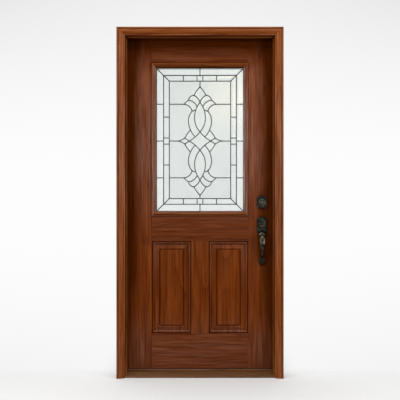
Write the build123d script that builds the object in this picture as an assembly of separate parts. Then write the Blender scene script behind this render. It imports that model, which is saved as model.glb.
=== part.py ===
from build123d import *
import os

# Entrance door unit: a pressed-skin slab with a leaded lite, hung on three butt hinges in a
# rabbeted timber frame with brick mould and sill. X runs to the right seen from outside, Y into
# the house and Z up. Y = 0 is the outside wall plane, Z = 0 the floor, X = 0 the middle.

# Slab
SLAB_WIDTH = 904.0
SLAB_HEIGHT = 2032.0
SLAB_THICK = 44.5
SKIN_THICK = 2.5
STILE_CORE = 38.0
RAIL_CORE = 46.0
EDGE_GAP = 5.0

# Sweep under the slab
SWEEP_MARGIN = 2.0
SWEEP_INSET = 5.0
SWEEP_BASE = 1.8
FIN_THICK = 1.6
TONGUE_THICK = 4.0
TONGUE_HEIGHT = 10.0

# Layout of the slab's faces
STILE_FACE = 153.5
TOP_FACE = 147.0
LOCK_RAIL_FACE = 156.0
BOTTOM_FACE = 214.0
MULLION_FACE = 108.0
LITE_HEIGHT = 945.0
PANEL_MOULD = 55.0
PANEL_RELIEF = 10.0

# Lite: frame, sealed glass unit and leaded sheet
LITE_FACE = 31.0
LITE_RISE = 12.0
LITE_LAP = 11.0
LITE_LEG = 7.0
LEG_PLAY = 0.4
PACK_PLAY = 1.0
PACK_THICK = 25.0
PANE_THICK = 4.0
CAME_WIDTH = 5.5
CAME_THICK = 6.0
CELL_THICK = 4.0
EDGE_LAP = 0.5
BORDER_INSET = 41.5
BORDER_BAND = 35.5
MOTIF_DROP = 7.5
MOTIF_APEX = 0.923

# Frame
JAMB_DEPTH = 116.0
JAMB_THICK = 32.0
RABBET_STEP = 12.7
SEAL_SPACE = 8.0
SEAL_CLEAR = 1.0
KERF_WIDTH = 3.0
KERF_DEPTH = 11.0
KERF_PLAY = 0.2
SEAL_MARGIN = 1.0
SEAL_END = 0.5
MOULD_WIDTH = 50.8
MOULD_THICK = 31.75
MOULD_REVEAL = 9.5
MOULD_EDGE = 2.0
MOULD_GROOVE = 3.0
RELIEF_WIDTH = 7.0
RELIEF_DEPTH = 2.5

# Sill
SILL_NOSE = 10.0
SILL_PLAY = 0.5
NOSE_CUT = 4.0
SILL_NOSE_HEIGHT = 13.0
SILL_BACK_HEIGHT = 22.0
THRESHOLD_HEIGHT = 34.5
TREAD_THICK = 2.5
TREAD_RIBS = 6
RIB_START = 12.0
RIB_WIDTH = 4.0
RIB_HEIGHT = 1.0
CAP_INSET = 3.0
CAP_ROUND = 5.0

# Hinges
HINGE_HEIGHT = 101.6
HINGE_LEAF = 38.0
LEAF_THICK = 2.5
LEAF_CORNER = 15.0
KNUCKLE_RADIUS = 6.5
KNUCKLE_COUNT = 5
KNUCKLE_PLAY = 0.4
PIN_RADIUS = 4.0
PIN_PLAY = 0.05
PIN_CAP = 3.0
PIN_BEVEL = 2.0
BARREL_CLEAR = 0.5
HINGE_TOP_INSET = 178.0
HINGE_FOOT_INSET = 279.0

# Locks
BACKSET = 70.0
LATCH_HEIGHT = 885.0
BORE_SPACING = 140.0
FACEPLATE_HEIGHT = 57.0
FACEPLATE_WIDTH = 25.0
FACEPLATE_CORNER = 6.0
PLATE_THICK = 2.5
BOLT_RADIUS = 7.0
BOLT_LENGTH = 48.0
BOLT_PLAY = 0.2
STRIKE_PLAY = 2.0

# Handle set
PLATE_WIDTH = 62.0
PLATE_ARCH = 16.0
ESCUTCHEON_HEIGHT = 97.0
ESCUTCHEON_DEPTH = 13.0
ESCUTCHEON_RISE = 4.0
ESCUTCHEON_WALL = 2.5
THUMB_WIDTH = 36.0
THUMB_NECK = 16.0
THUMB_THICK = 6.0
THUMB_REACH = 46.0
THUMB_CLEAR = 5.0
SLOT_SPARE = 2.0
THUMB_DROP = -10.0
TRUNNION_RADIUS = 2.5
TURN_PLAY = 0.08
GRIP_DROP = 175.0
GRIP_REACH = 55.0
GRIP_WIDTH = 38.0
GRIP_THICK = 16.0
FOOT_DEPTH = 8.0
DEADBOLT_HEIGHT = 82.0
GUARD_RADIUS = 23.0
GUARD_DEPTH = 22.0
GUARD_DISH = 2.0
PLUG_RADIUS = 6.4
PLUG_FOOT = 3.0
PLUG_PLAY = 0.3
PLUG_PROUD = 0.8
ROSE_RADIUS = 32.0
ROSE_DEPTH = 9.0
KNOB_RADIUS = 27.0
KNOB_REACH = 62.0
TURN_REACH = 30.0

# Worked-out planes
SLAB_HALF = SLAB_WIDTH / 2
SLAB_FOOT = THRESHOLD_HEIGHT + EDGE_GAP
SLAB_HEAD = SLAB_FOOT + SLAB_HEIGHT
FRONT = JAMB_DEPTH - SLAB_THICK
STOP_PLANE = FRONT - SEAL_SPACE
RABBET_X = SLAB_HALF + EDGE_GAP
STOP_X = RABBET_X - RABBET_STEP
FRAME_X = STOP_X + JAMB_THICK
RABBET_Z = SLAB_HEAD + EDGE_GAP
STOP_Z = RABBET_Z - RABBET_STEP
FRAME_Z = STOP_Z + JAMB_THICK
MOULD_X = STOP_X + MOULD_REVEAL
MOULD_Z = STOP_Z + MOULD_REVEAL
LOCK_X = SLAB_HALF - BACKSET
LATCH_Z = SLAB_FOOT + LATCH_HEIGHT
BOLT_Z = LATCH_Z + BORE_SPACING
CORE_Y = FRONT + SLAB_THICK / 2
PIVOT_X = -SLAB_HALF - EDGE_GAP / 2
PIVOT_Y = JAMB_DEPTH + KNUCKLE_RADIUS + BARREL_CLEAR
THUMB_OUT = 0.58 * ESCUTCHEON_DEPTH
SEAL_X = RABBET_X - RABBET_STEP / 2
KERF_X = RABBET_X - SEAL_MARGIN - KERF_WIDTH / 2
KERF_Z = RABBET_Z - SEAL_MARGIN - KERF_WIDTH / 2

# Lite and panels on the face
LITE_WIDTH = SLAB_WIDTH - 2 * STILE_FACE
LITE_Z = SLAB_HEAD - TOP_FACE - LITE_HEIGHT / 2
PANEL_WIDTH = (LITE_WIDTH - MULLION_FACE) / 2
PANEL_HEIGHT = SLAB_HEIGHT - TOP_FACE - LITE_HEIGHT - LOCK_RAIL_FACE - BOTTOM_FACE
PANEL_X = (PANEL_WIDTH + MULLION_FACE) / 2
PANEL_Z = SLAB_FOOT + BOTTOM_FACE + PANEL_HEIGHT / 2
CUT_WIDTH = LITE_WIDTH - 2 * LITE_LAP
CUT_HEIGHT = LITE_HEIGHT - 2 * LITE_LAP
PACK_INSET = LITE_LAP + LITE_LEG + PACK_PLAY
PACK_WIDTH = LITE_WIDTH - 2 * PACK_INSET
PACK_HEIGHT = LITE_HEIGHT - 2 * PACK_INSET
SIGHT_WIDTH = LITE_WIDTH - 2 * LITE_FACE
SIGHT_HEIGHT = LITE_HEIGHT - 2 * LITE_FACE
OUTER_WIDTH = SIGHT_WIDTH - 2 * BORDER_INSET
OUTER_HEIGHT = SIGHT_HEIGHT - 2 * BORDER_INSET
INNER_WIDTH = OUTER_WIDTH - 2 * BORDER_BAND
INNER_HEIGHT = OUTER_HEIGHT - 2 * BORDER_BAND
PACK_DEPTH = (SLAB_THICK - PACK_THICK) / 2

# Faces of the slab as drawing planes: x to the viewer's right, y up, z out of the slab
OUTSIDE = Plane((0, FRONT, 0), x_dir=(1, 0, 0), z_dir=(0, -1, 0))
INSIDE = Plane((0, JAMB_DEPTH, 0), x_dir=(-1, 0, 0), z_dir=(0, 1, 0))


def block(x0, x1, y0, y1, z0, z1):
    """Box between two corners."""
    middle = Pos((x0 + x1) / 2, (y0 + y1) / 2, (z0 + z1) / 2)
    return middle * Box(x1 - x0, y1 - y0, z1 - z0)


def outline(*edges):
    """Face inside a closed chain of edges."""
    return make_face(Curve() + list(edges))


def polygon(*points):
    """Face inside straight edges."""
    return make_face(Polyline(*points, points[0]))


def raised(face, low, high):
    """Face of a drawing plane thickened between two heights over that plane."""
    return extrude(Pos(0, 0, low) * face, amount=high - low, dir=(0, 0, 1))


def mitred_bar(profile, length):
    """Moulding along X, both ends cut at 45 degrees, with its profile drawn (inward, outward)."""
    half = length / 2
    bar = along_x(profile, half)
    for sign in (-1, 1):
        mitre = Plane((sign * half, 0, 0), x_dir=(0, 0, 1), z_dir=(sign, 1, 0))
        bar = split(bar, mitre, keep=Keep.BOTTOM)
    return bar


def mitred_ring(profile, width, height):
    """Moulding carried round a rectangle and mitred at its corners."""
    level = Pos(0, -height / 2) * mitred_bar(profile, width)
    upright = Rot(0, 0, 90) * (Pos(0, -width / 2) * mitred_bar(profile, height))
    return level + upright + Rot(0, 0, 180) * level + Rot(0, 0, 180) * upright


def along_x(profile, half):
    """Profile drawn (y, z) carried from -half to half."""
    start = Plane((-half, 0, 0), x_dir=(0, 1, 0), z_dir=(1, 0, 0))
    return extrude(start * profile, amount=2 * half)


def write(shape, name):
    """Save one node."""
    export_step(shape, f"parts/{name}.step")


# Slab

def panel_profile():
    """Pressed panel moulding: groove, bead, groove, long bevel, and groove round the field."""
    w = PANEL_MOULD
    d = PANEL_RELIEF
    quirk = (0.08 * w, -0.75 * d)
    dip = (0.3 * w, -0.8 * d)
    return outline(
        Line((0, 0), quirk),
        ThreePointArc(quirk, (0.19 * w, -0.3 * d), dip),
        Polyline(dip, (0.36 * w, -d), (0.82 * w, -0.3 * d), (0.9 * w, -0.65 * d), (w, 0), (0, 0)),
    )


def panel_reliefs(side, sink):
    """Hollows of the two panels on one face, sunk below it."""
    ring = Pos(0, 0, -sink) * mitred_ring(panel_profile(), PANEL_WIDTH, PANEL_HEIGHT)
    return side * (Pos(PANEL_X, PANEL_Z) * ring + Pos(-PANEL_X, PANEL_Z) * ring)


def lite_hole():
    """Cut-out through the slab for the lite."""
    return Pos(0, CORE_Y, LITE_Z) * Box(CUT_WIDTH, 2 * SLAB_THICK, CUT_HEIGHT)


def skin(side):
    """Pressed face sheet, as thick in the panel mouldings as it is on the flat."""
    face = Pos(0, SLAB_FOOT + SLAB_HEIGHT / 2) * Rectangle(SLAB_WIDTH, SLAB_HEIGHT)
    sheet = side * raised(face, -SKIN_THICK, 0)
    return sheet + panel_reliefs(side, SKIN_THICK) - panel_reliefs(side, 0) - lite_hole()


def leaf_pockets():
    """Recesses for the door leaves of the hinges in the slab's edge."""
    return [Pos(0, 0, z) * leaf_plate(True) for z in hinge_heights()]


def slab_nodes():
    """Skins, edge timbers, rails and foam core of the slab."""
    y0 = FRONT + SKIN_THICK
    y1 = JAMB_DEPTH - SKIN_THICK
    inner = SLAB_HALF - STILE_CORE
    low = SLAB_FOOT + RAIL_CORE
    high = SLAB_HEAD - RAIL_CORE
    write(skin(OUTSIDE), "exterior_skin")
    write(skin(INSIDE) - leaf_pockets(), "interior_skin")
    write(block(-SLAB_HALF, -inner, y0, y1, SLAB_FOOT, SLAB_HEAD) - leaf_pockets(), "hinge_stile")
    lock_stile = block(inner, SLAB_HALF, y0, y1, SLAB_FOOT, SLAB_HEAD)
    for z in (LATCH_Z, BOLT_Z):
        lock_stile -= faceplate(z)
        lock_stile -= bolt(z, BOLT_PLAY)
    write(lock_stile, "lock_stile")
    write(block(-inner, inner, y0, y1, high, SLAB_HEAD), "top_rail")
    write(block(-inner, inner, y0, y1, SLAB_FOOT, low) - sweep_tongue(), "bottom_rail")
    foam = block(-inner, inner, y0, y1, low, high)
    foam -= panel_reliefs(OUTSIDE, SKIN_THICK)
    foam -= panel_reliefs(INSIDE, SKIN_THICK)
    for z in (LATCH_Z, BOLT_Z):
        foam -= bolt(z, BOLT_PLAY)
    write(foam - lite_hole(), "foam_core")
    write(door_sweep(), "door_sweep")


def sweep_tongue():
    """Rib of the sweep that is pressed into the bottom rail."""
    half = TONGUE_THICK / 2
    reach = SLAB_HALF - STILE_CORE
    return block(-reach, reach, CORE_Y - half, CORE_Y + half, SLAB_FOOT, SLAB_FOOT + TONGUE_HEIGHT)


def door_sweep():
    """Flexible bottom seal: carrier, tongue and three fins just off the threshold."""
    half = SLAB_THICK / 2 - SWEEP_INSET
    reach = SLAB_HALF - SWEEP_MARGIN
    low = SLAB_FOOT - SWEEP_BASE
    carrier = block(-reach, reach, CORE_Y - half, CORE_Y + half, low, SLAB_FOOT)
    tip = THRESHOLD_HEIGHT + SEAL_CLEAR
    fins = [
        block(-reach, reach, y - FIN_THICK / 2, y + FIN_THICK / 2, tip, SLAB_FOOT)
        for y in (CORE_Y - 0.8 * half, CORE_Y, CORE_Y + 0.8 * half)
    ]
    return carrier + sweep_tongue() + fins


# Lite

def lite_profile():
    """Lite frame: bead on the skin, quirk, crown, cove down to the glass, leg to mid-slab."""
    r = LITE_RISE
    f = LITE_FACE
    leg0 = LITE_LAP + LEG_PLAY
    leg1 = LITE_LAP + LITE_LEG
    return outline(
        Line((0, 0), (0, 0.2 * r)),
        ThreePointArc((0, 0.2 * r), (0.06 * f, 0.6 * r), (0.2 * f, 0.76 * r)),
        ThreePointArc((0.2 * f, 0.76 * r), (0.27 * f, 0.6 * r), (0.34 * f, 0.8 * r)),
        ThreePointArc((0.34 * f, 0.8 * r), (0.42 * f, r), (0.54 * f, 0.9 * r)),
        ThreePointArc((0.54 * f, 0.9 * r), (0.74 * f, 0.32 * r), (f, 0)),
        Polyline(
            (f, 0), (f, -PACK_DEPTH), (leg1, -PACK_DEPTH), (leg1, -SLAB_THICK / 2),
            (leg0, -SLAB_THICK / 2), (leg0, 0), (0, 0),
        ),
    )


def motif_point(x, z):
    """Point given as shares of the inner border's half width and half height."""
    return (x * INNER_WIDTH / 2, z * INNER_HEIGHT / 2)


def motif_arc(*points):
    """Curved came through three points of the motif."""
    return ThreePointArc(*[motif_point(*point) for point in points])


def motif_line(*points):
    """Straight came between two points of the motif."""
    return Line(*[motif_point(*point) for point in points])


def motif_quarter():
    """Cames and solder joints of the motif in the quarter right of and above its middle."""
    apex = (0, MOTIF_APEX)
    shoulder = (0.196, 0.779)
    cross = (0, 0.657)
    crest = (0.356, 0.694)
    wing = (0.512, 0.627)
    hip = (0.258, 0.507)
    belly = (0.173, 0.428)
    flank = (0.378, 0.346)
    waist = (0, 0.156)
    seat = (0.157, 0.07)
    knee = (0.492, 0.05)
    elbow = (0.352, 0)
    tip = (0.71, 0)
    cames = [
        motif_arc(apex, (0.114, 0.851), shoulder),
        motif_arc(shoulder, (0.085, 0.735), cross),
        motif_arc(shoulder, (0.323, 0.752), (0.37, 0.694)),
        motif_arc(wing, (0.453, 0.666), crest),
        motif_arc(crest, (0.222, 0.667), (0.096, 0.587)),
        motif_arc(wing, (0.336, 0.583), hip),
        motif_arc(hip, (0.202, 0.519), (0.132, 0.523)),
        motif_arc(cross, (0.115, 0.557), belly),
        motif_arc(belly, (0.142, 0.283), waist),
        motif_arc(hip, (0.344, 0.432), flank),
        motif_arc(flank, (0.322, 0.203), seat),
        motif_arc(waist, seat, elbow),
        motif_line(elbow, (knee[0], -knee[1])),
        motif_arc((0.316, 0.186), (0.408, 0.128), knee),
        motif_arc(knee, (0.59, 0.021), tip),
        motif_line(tip, (1, tip[1])),
        motif_line(wing, (1, wing[1])),
    ]
    for x, z in (tip, wing):
        height = motif_point(x, z)[1]
        cames.append(Line((OUTER_WIDTH / 2, height), (SIGHT_WIDTH / 2 + CAME_WIDTH, height)))
    joints = (apex, shoulder, wing, hip, knee, elbow, tip, waist, cross)
    dots = [Pos(*motif_point(*joint)) * Circle(0.75 * CAME_WIDTH) for joint in joints]
    return [trace(came, CAME_WIDTH) for came in cames] + dots


def motif_shapes():
    """Flat shapes of the whole motif, hung below the middle of the sheet by its drop, and its stems."""
    quarter = motif_quarter()
    half = quarter + [mirror(shape, Plane.YZ) for shape in quarter]
    whole = half + [mirror(shape, Plane.XZ) for shape in half]
    shapes = [Pos(0, -MOTIF_DROP) * shape for shape in whole]
    apex = motif_point(0, MOTIF_APEX)[1]
    for sign in (-1, 1):
        stem = Line((0, sign * apex - MOTIF_DROP), (0, sign * INNER_HEIGHT / 2))
        shapes.append(trace(stem, CAME_WIDTH))
    return shapes


def came_border():
    """Two rectangles of came with mitres at the corners and dividers in the bands."""
    w = CAME_WIDTH
    sizes = ((OUTER_WIDTH, OUTER_HEIGHT), (INNER_WIDTH, INNER_HEIGHT))
    shapes = [Rectangle(a + w, b + w) - Rectangle(a - w, b - w) for a, b in sizes]
    mid_x = (OUTER_WIDTH + INNER_WIDTH) / 4
    mid_z = (OUTER_HEIGHT + INNER_HEIGHT) / 4
    edge_z = (OUTER_HEIGHT + SIGHT_HEIGHT) / 4
    corner_x, corner_z = motif_point(1, 1)
    reach = BORDER_BAND + BORDER_INSET + w
    for right in (-1, 1):
        for up in (-1, 1):
            for share in (0.095, 0.541):
                divider = Rectangle(w, BORDER_BAND)
                shapes.append(Pos(right * motif_point(share, 1)[0], up * mid_z) * divider)
            for share in (0.052, 0.408):
                divider = Rectangle(BORDER_BAND, w)
                shapes.append(Pos(right * mid_x, up * motif_point(1, share)[1] - MOTIF_DROP) * divider)
            start = (right * corner_x, up * corner_z)
            end = (right * (corner_x + reach), up * (corner_z + reach))
            shapes.append(trace(Line(start, end), w))
    return shapes + [Pos(0, up * edge_z) * Rectangle(w, BORDER_INSET + 2 * w) for up in (-1, 1)]


def came_lattice():
    """Leaded pattern as one bar work about the sheet's own plane, with its hidden edge came."""
    t = CAME_THICK / 2
    bars = Part() + [raised(shape, -t, t) for shape in motif_shapes() + came_border()]
    bars &= Box(SIGHT_WIDTH + 4 * EDGE_LAP, SIGHT_HEIGHT + 4 * EDGE_LAP, CAME_THICK)
    return bars + raised(edge_band(EDGE_LAP), -t, t)


def edge_band(play):
    """Hidden band between the sight line and the edge of the glass, short of that edge by the play."""
    sight = Rectangle(SIGHT_WIDTH + 2 * EDGE_LAP, SIGHT_HEIGHT + 2 * EDGE_LAP)
    return Rectangle(PACK_WIDTH - 2 * play, PACK_HEIGHT - 2 * play) - sight


def lite_nodes():
    """Lite frames, panes, spacers, cames and cut glass."""
    middle = -SLAB_THICK / 2
    place = Pos(0, LITE_Z)
    ring = place * mitred_ring(lite_profile(), LITE_WIDTH, LITE_HEIGHT)
    write(OUTSIDE * ring, "exterior_lite_frame")
    write(INSIDE * ring, "interior_lite_frame")
    sheet = place * Rectangle(PACK_WIDTH, PACK_HEIGHT)
    pane = raised(sheet, -PACK_DEPTH - PANE_THICK, -PACK_DEPTH)
    write(OUTSIDE * pane, "outer_pane")
    write(INSIDE * pane, "inner_pane")
    spacer = raised(place * edge_band(0), middle + CAME_THICK / 2, -PACK_DEPTH - PANE_THICK)
    write(OUTSIDE * spacer + INSIDE * spacer, "glass_spacers")
    lattice = came_lattice()
    glass = Box(PACK_WIDTH - 2 * EDGE_LAP, PACK_HEIGHT - 2 * EDGE_LAP, CELL_THICK) - lattice
    sheet_plane = Pos(0, LITE_Z, middle)
    write(OUTSIDE * (sheet_plane * lattice), "came_lattice")
    write(OUTSIDE * (sheet_plane * glass), "cut_glass")


# Frame

def jamb_section():
    """Side jamb of the latch side in plan: rabbet, stop and kerf for the seal."""
    section = polygon(
        (STOP_X, 0), (FRAME_X, 0), (FRAME_X, JAMB_DEPTH), (RABBET_X, JAMB_DEPTH),
        (RABBET_X, STOP_PLANE), (STOP_X, STOP_PLANE),
    )
    kerf = Pos(KERF_X, STOP_PLANE - KERF_DEPTH / 2) * Rectangle(KERF_WIDTH, KERF_DEPTH)
    return section - kerf


def seal_section():
    """Bulb seal in plan on the latch side, with its fin in the kerf."""
    bulb = SEAL_SPACE - SEAL_CLEAR
    width = RABBET_STEP - 2 * SEAL_MARGIN
    body = Pos(SEAL_X, STOP_PLANE + bulb / 2) * RectangleRounded(width, bulb, 0.4 * bulb)
    foot = Pos(SEAL_X, STOP_PLANE + bulb / 4) * Rectangle(width, bulb / 2)
    depth = KERF_DEPTH - KERF_PLAY
    fin = Pos(KERF_X, STOP_PLANE - depth / 2) * Rectangle(KERF_WIDTH - 2 * KERF_PLAY, depth)
    return body + foot + fin


def mould_section():
    """Brick mould (outward from the doorway, out of the wall), with a relief cut in its back."""
    w = MOULD_WIDTH
    t = MOULD_THICK
    cut0 = FRAME_X - MOULD_X - RELIEF_WIDTH / 2
    cut1 = cut0 + RELIEF_WIDTH
    low = t - MOULD_GROOVE
    crown = (0.74 * w, 0.98 * t)
    quirk = (0.2 * w, 0.76 * t)
    bead = (0.17 * w, 0.68 * t)
    lip = (0, 0.52 * t)
    return outline(
        Polyline(
            lip, (0, 0), (cut0, 0), (cut0, RELIEF_DEPTH), (cut1, RELIEF_DEPTH), (cut1, 0), (w, 0),
            (w, t - MOULD_EDGE), (w - MOULD_EDGE, t), (0.82 * w, t), (0.8 * w, low), (0.76 * w, low), crown,
        ),
        ThreePointArc(crown, (0.46 * w, 0.93 * t), quirk),
        Line(quirk, bead),
        ThreePointArc(bead, (0.06 * w, 0.66 * t), lip),
    )


def mould_leg():
    """Latch-side leg of the brick mould, mitred at its head."""
    plan = Plane((MOULD_X, 0, 0), x_dir=(1, 0, 0), z_dir=(0, 0, -1))
    leg = extrude(plan * mould_section(), amount=-(MOULD_Z + MOULD_WIDTH))
    mitre = Plane((MOULD_X, 0, MOULD_Z), x_dir=(0, 1, 0), z_dir=(-1, 0, 1))
    return split(leg, mitre, keep=Keep.BOTTOM)


def mould_head():
    """Head of the brick mould, mitred at both ends."""
    reach = MOULD_X + MOULD_WIDTH
    side = Plane((-reach, 0, MOULD_Z), x_dir=(0, 0, 1), z_dir=(1, 0, 0))
    head = extrude(side * mould_section(), amount=2 * reach)
    for sign in (-1, 1):
        mitre = Plane((sign * MOULD_X, 0, MOULD_Z), x_dir=(0, 1, 0), z_dir=(-sign, 0, 1))
        head = split(head, mitre, keep=Keep.TOP)
    return head


def frame_nodes():
    """Jambs, brick mould and seals."""
    jamb = extrude(jamb_section(), amount=FRAME_Z)
    hinge_jamb = mirror(jamb, Plane.YZ)
    for z in hinge_heights():
        hinge_jamb -= Pos(0, 0, z) * leaf_plate(False)
    write(hinge_jamb, "hinge_jamb")
    strike_jamb = jamb
    for z in (LATCH_Z, BOLT_Z):
        strike_jamb -= strike_blank(z)
        strike_jamb -= strike_box(z)
    write(strike_jamb, "strike_jamb")
    head = block(-STOP_X, STOP_X, 0, STOP_PLANE, STOP_Z, FRAME_Z)
    head += block(-RABBET_X, RABBET_X, STOP_PLANE, JAMB_DEPTH, RABBET_Z, FRAME_Z)
    low = KERF_Z - KERF_WIDTH / 2
    kerf = block(-STOP_X, STOP_X, STOP_PLANE - KERF_DEPTH, STOP_PLANE, low, low + KERF_WIDTH)
    write(head - kerf, "head_jamb")
    leg = mould_leg()
    write(leg, "brick_mould_strike_side")
    write(mirror(leg, Plane.YZ), "brick_mould_hinge_side")
    write(mould_head(), "brick_mould_head")
    rise = RABBET_Z - THRESHOLD_HEIGHT - SEAL_END
    strip = Pos(0, 0, THRESHOLD_HEIGHT) * extrude(seal_section(), amount=rise)
    write(strip, "seal_strike_side")
    write(mirror(strip, Plane.YZ), "seal_hinge_side")
    across_head = Plane((STOP_X, 0, RABBET_Z - RABBET_X), x_dir=(0, 0, 1), z_dir=(-1, 0, 0))
    write(extrude(across_head * seal_section(), amount=2 * STOP_X), "seal_head")


def sill_space():
    """Room between the brick mould's legs and the jambs that the sill fills."""
    steps = (
        (MOULD_X - SILL_PLAY, -SILL_NOSE, 0),
        (STOP_X, 0, STOP_PLANE),
        (RABBET_X, STOP_PLANE, JAMB_DEPTH),
    )
    return Part() + [block(-x, x, y0, y1, 0, THRESHOLD_HEIGHT) for x, y0, y1 in steps]


def sill_section(sink):
    """Sill in section (y, z): nose, slope and level back, drawn in from its outside by the sink."""
    front = sink - SILL_NOSE
    back = JAMB_DEPTH - sink
    low = SILL_NOSE_HEIGHT - sink
    high = SILL_BACK_HEIGHT - sink
    cut = NOSE_CUT - 0.6 * sink
    return polygon(
        (front, 0), (front, low - cut), (front + cut, low), (STOP_PLANE, high), (back, high), (back, 0),
    )


def tread_ribs():
    """Ribs across the slope of the tread, in section."""
    start = NOSE_CUT - SILL_NOSE
    run = STOP_PLANE - start
    rise = SILL_BACK_HEIGHT - SILL_NOSE_HEIGHT
    half = RIB_WIDTH / 2
    h = RIB_HEIGHT
    rib = polygon((-half, -h), (-half, 0), (-half / 2, h), (half / 2, h), (half, 0), (half, -h))
    pitch = (run - RIB_START) / TREAD_RIBS
    ribs = []
    for n in range(TREAD_RIBS):
        along = RIB_START + n * pitch
        foot = (start + along, SILL_NOSE_HEIGHT + rise * along / run, 0)
        ribs.append(Plane(foot, x_dir=(run, rise, 0), z_dir=(0, 0, 1)) * rib)
    return ribs


def cap_section():
    """Threshold cap in section (y, z), with rounded upper edges."""
    y0 = STOP_PLANE + CAP_INSET
    y1 = JAMB_DEPTH - CAP_INSET
    h = THRESHOLD_HEIGHT
    r = CAP_ROUND
    return outline(
        Polyline((y0, h - r), (y0, SILL_BACK_HEIGHT), (y1, SILL_BACK_HEIGHT), (y1, h - r)),
        ThreePointArc((y1, h - r), (y1 - 0.3 * r, h - 0.3 * r), (y1 - r, h)),
        Line((y1 - r, h), (y0 + r, h)),
        ThreePointArc((y0 + r, h), (y0 + 0.3 * r, h - 0.3 * r), (y0, h - r)),
    )


def sill_nodes():
    """Timber sill core, ribbed metal tread over it and threshold cap under the slab."""
    timber = sill_section(TREAD_THICK)
    tread = sill_section(0) + tread_ribs() - timber
    space = sill_space()
    write(along_x(tread, FRAME_X) & space, "sill_tread")
    write(along_x(timber, FRAME_X) & space, "sill_core")
    write(along_x(cap_section(), RABBET_X), "threshold_cap")


# Hinges

def hinge_heights():
    """Heights of the hinge middles, the middle one halfway between the others."""
    high = SLAB_HEAD - HINGE_TOP_INSET - HINGE_HEIGHT / 2
    low = SLAB_FOOT + HINGE_FOOT_INSET + HINGE_HEIGHT / 2
    return (high, (high + low) / 2, low)


def leaf_plate(door_side):
    """Flat of a hinge leaf let in flush, round-cornered away from the knuckles."""
    face = PIVOT_X + EDGE_GAP / 2 if door_side else PIVOT_X - EDGE_GAP / 2
    y0 = JAMB_DEPTH - HINGE_LEAF
    shape = Pos(y0 + HINGE_LEAF, 0) * RectangleRounded(2 * HINGE_LEAF, HINGE_HEIGHT, LEAF_CORNER)
    shape &= Pos(y0 + HINGE_LEAF / 2, 0) * Rectangle(HINGE_LEAF, HINGE_HEIGHT)
    start = face if door_side else face - LEAF_THICK
    return extrude(Plane((start, 0, 0), x_dir=(0, 1, 0), z_dir=(1, 0, 0)) * shape, amount=LEAF_THICK)


def hinge_leaf(door_side):
    """One leaf: let-in flat, its strip out to the barrel, and its share of the knuckles."""
    pitch = HINGE_HEIGHT / KNUCKLE_COUNT
    plate = leaf_plate(door_side)
    face = PIVOT_X + EDGE_GAP / 2 if door_side else PIVOT_X - EDGE_GAP / 2 - LEAF_THICK
    half = HINGE_HEIGHT / 2 - KNUCKLE_PLAY / 2
    plate += block(face, face + LEAF_THICK, JAMB_DEPTH - LEAF_THICK, PIVOT_Y, -half, half)
    for n in range(KNUCKLE_COUNT):
        middle = Pos(PIVOT_X, PIVOT_Y, (n + 0.5) * pitch - HINGE_HEIGHT / 2)
        if (n % 2 == 1) == door_side:
            plate += middle * Cylinder(KNUCKLE_RADIUS, pitch - KNUCKLE_PLAY)
        else:
            plate -= middle * Cylinder(KNUCKLE_RADIUS + BARREL_CLEAR, pitch + KNUCKLE_PLAY)
    return plate - Pos(PIVOT_X, PIVOT_Y, 0) * Cylinder(PIN_RADIUS + PIN_PLAY, 2 * HINGE_HEIGHT)


def hinge_pin():
    """Pin with a domed head at each end."""
    half = HINGE_HEIGHT / 2 - KNUCKLE_PLAY / 2
    r = PIN_RADIUS
    cap = KNUCKLE_RADIUS
    end = half + PIN_CAP
    edge = end - PIN_BEVEL
    upper = polygon((0, 0), (r, 0), (r, half), (cap, half), (cap, edge), (cap - PIN_BEVEL, end), (0, end))
    pin = revolve(Plane.XZ * upper, Axis.Z)
    return Pos(PIVOT_X, PIVOT_Y, 0) * (pin + mirror(pin, Plane.XY))


def hinge_nodes():
    """Three hinges, each a jamb leaf, a door leaf and a pin."""
    for name, z in zip(("top", "middle", "bottom"), hinge_heights()):
        write(Pos(0, 0, z) * hinge_leaf(False), f"hinge_{name}_jamb_leaf")
        write(Pos(0, 0, z) * hinge_leaf(True), f"hinge_{name}_door_leaf")
    write(Part() + [Pos(0, 0, z) * hinge_pin() for z in hinge_heights()], "hinge_pins")


# Locks and handles

def edge_plane(x):
    """Plane across the slab's lock edge, drawn (y, z)."""
    return Plane((x, 0, 0), x_dir=(0, 1, 0), z_dir=(1, 0, 0))


def outside_at(z):
    """Outside face at the lock line: x right, y up, z out of the slab."""
    return Plane((LOCK_X, FRONT, z), x_dir=(1, 0, 0), z_dir=(0, -1, 0))


def inside_at(z):
    """Inside face at the lock line: x right seen from inside, y up, z out of the slab."""
    return Plane((LOCK_X, JAMB_DEPTH, z), x_dir=(-1, 0, 0), z_dir=(0, 1, 0))


def faceplate(z):
    """Edge plate of a bolt, let in flush."""
    shape = Pos(CORE_Y, z) * RectangleRounded(FACEPLATE_WIDTH, FACEPLATE_HEIGHT, FACEPLATE_CORNER)
    return extrude(edge_plane(SLAB_HALF - PLATE_THICK) * shape, amount=PLATE_THICK)


def bolt(z, play):
    """Bolt drawn back flush with its edge plate."""
    shape = Pos(CORE_Y, z) * Circle(BOLT_RADIUS + play)
    return extrude(edge_plane(SLAB_HALF - BOLT_LENGTH - play) * shape, amount=BOLT_LENGTH + play)


def strike_blank(z):
    """Strike plate let into the jamb, reaching to its inside edge."""
    y0 = CORE_Y - 0.6 * FACEPLATE_WIDTH
    plate = RectangleRounded(JAMB_DEPTH - y0, FACEPLATE_HEIGHT, FACEPLATE_CORNER)
    shape = Pos((y0 + JAMB_DEPTH) / 2, z) * plate
    return extrude(edge_plane(RABBET_X) * shape, amount=PLATE_THICK)


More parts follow.
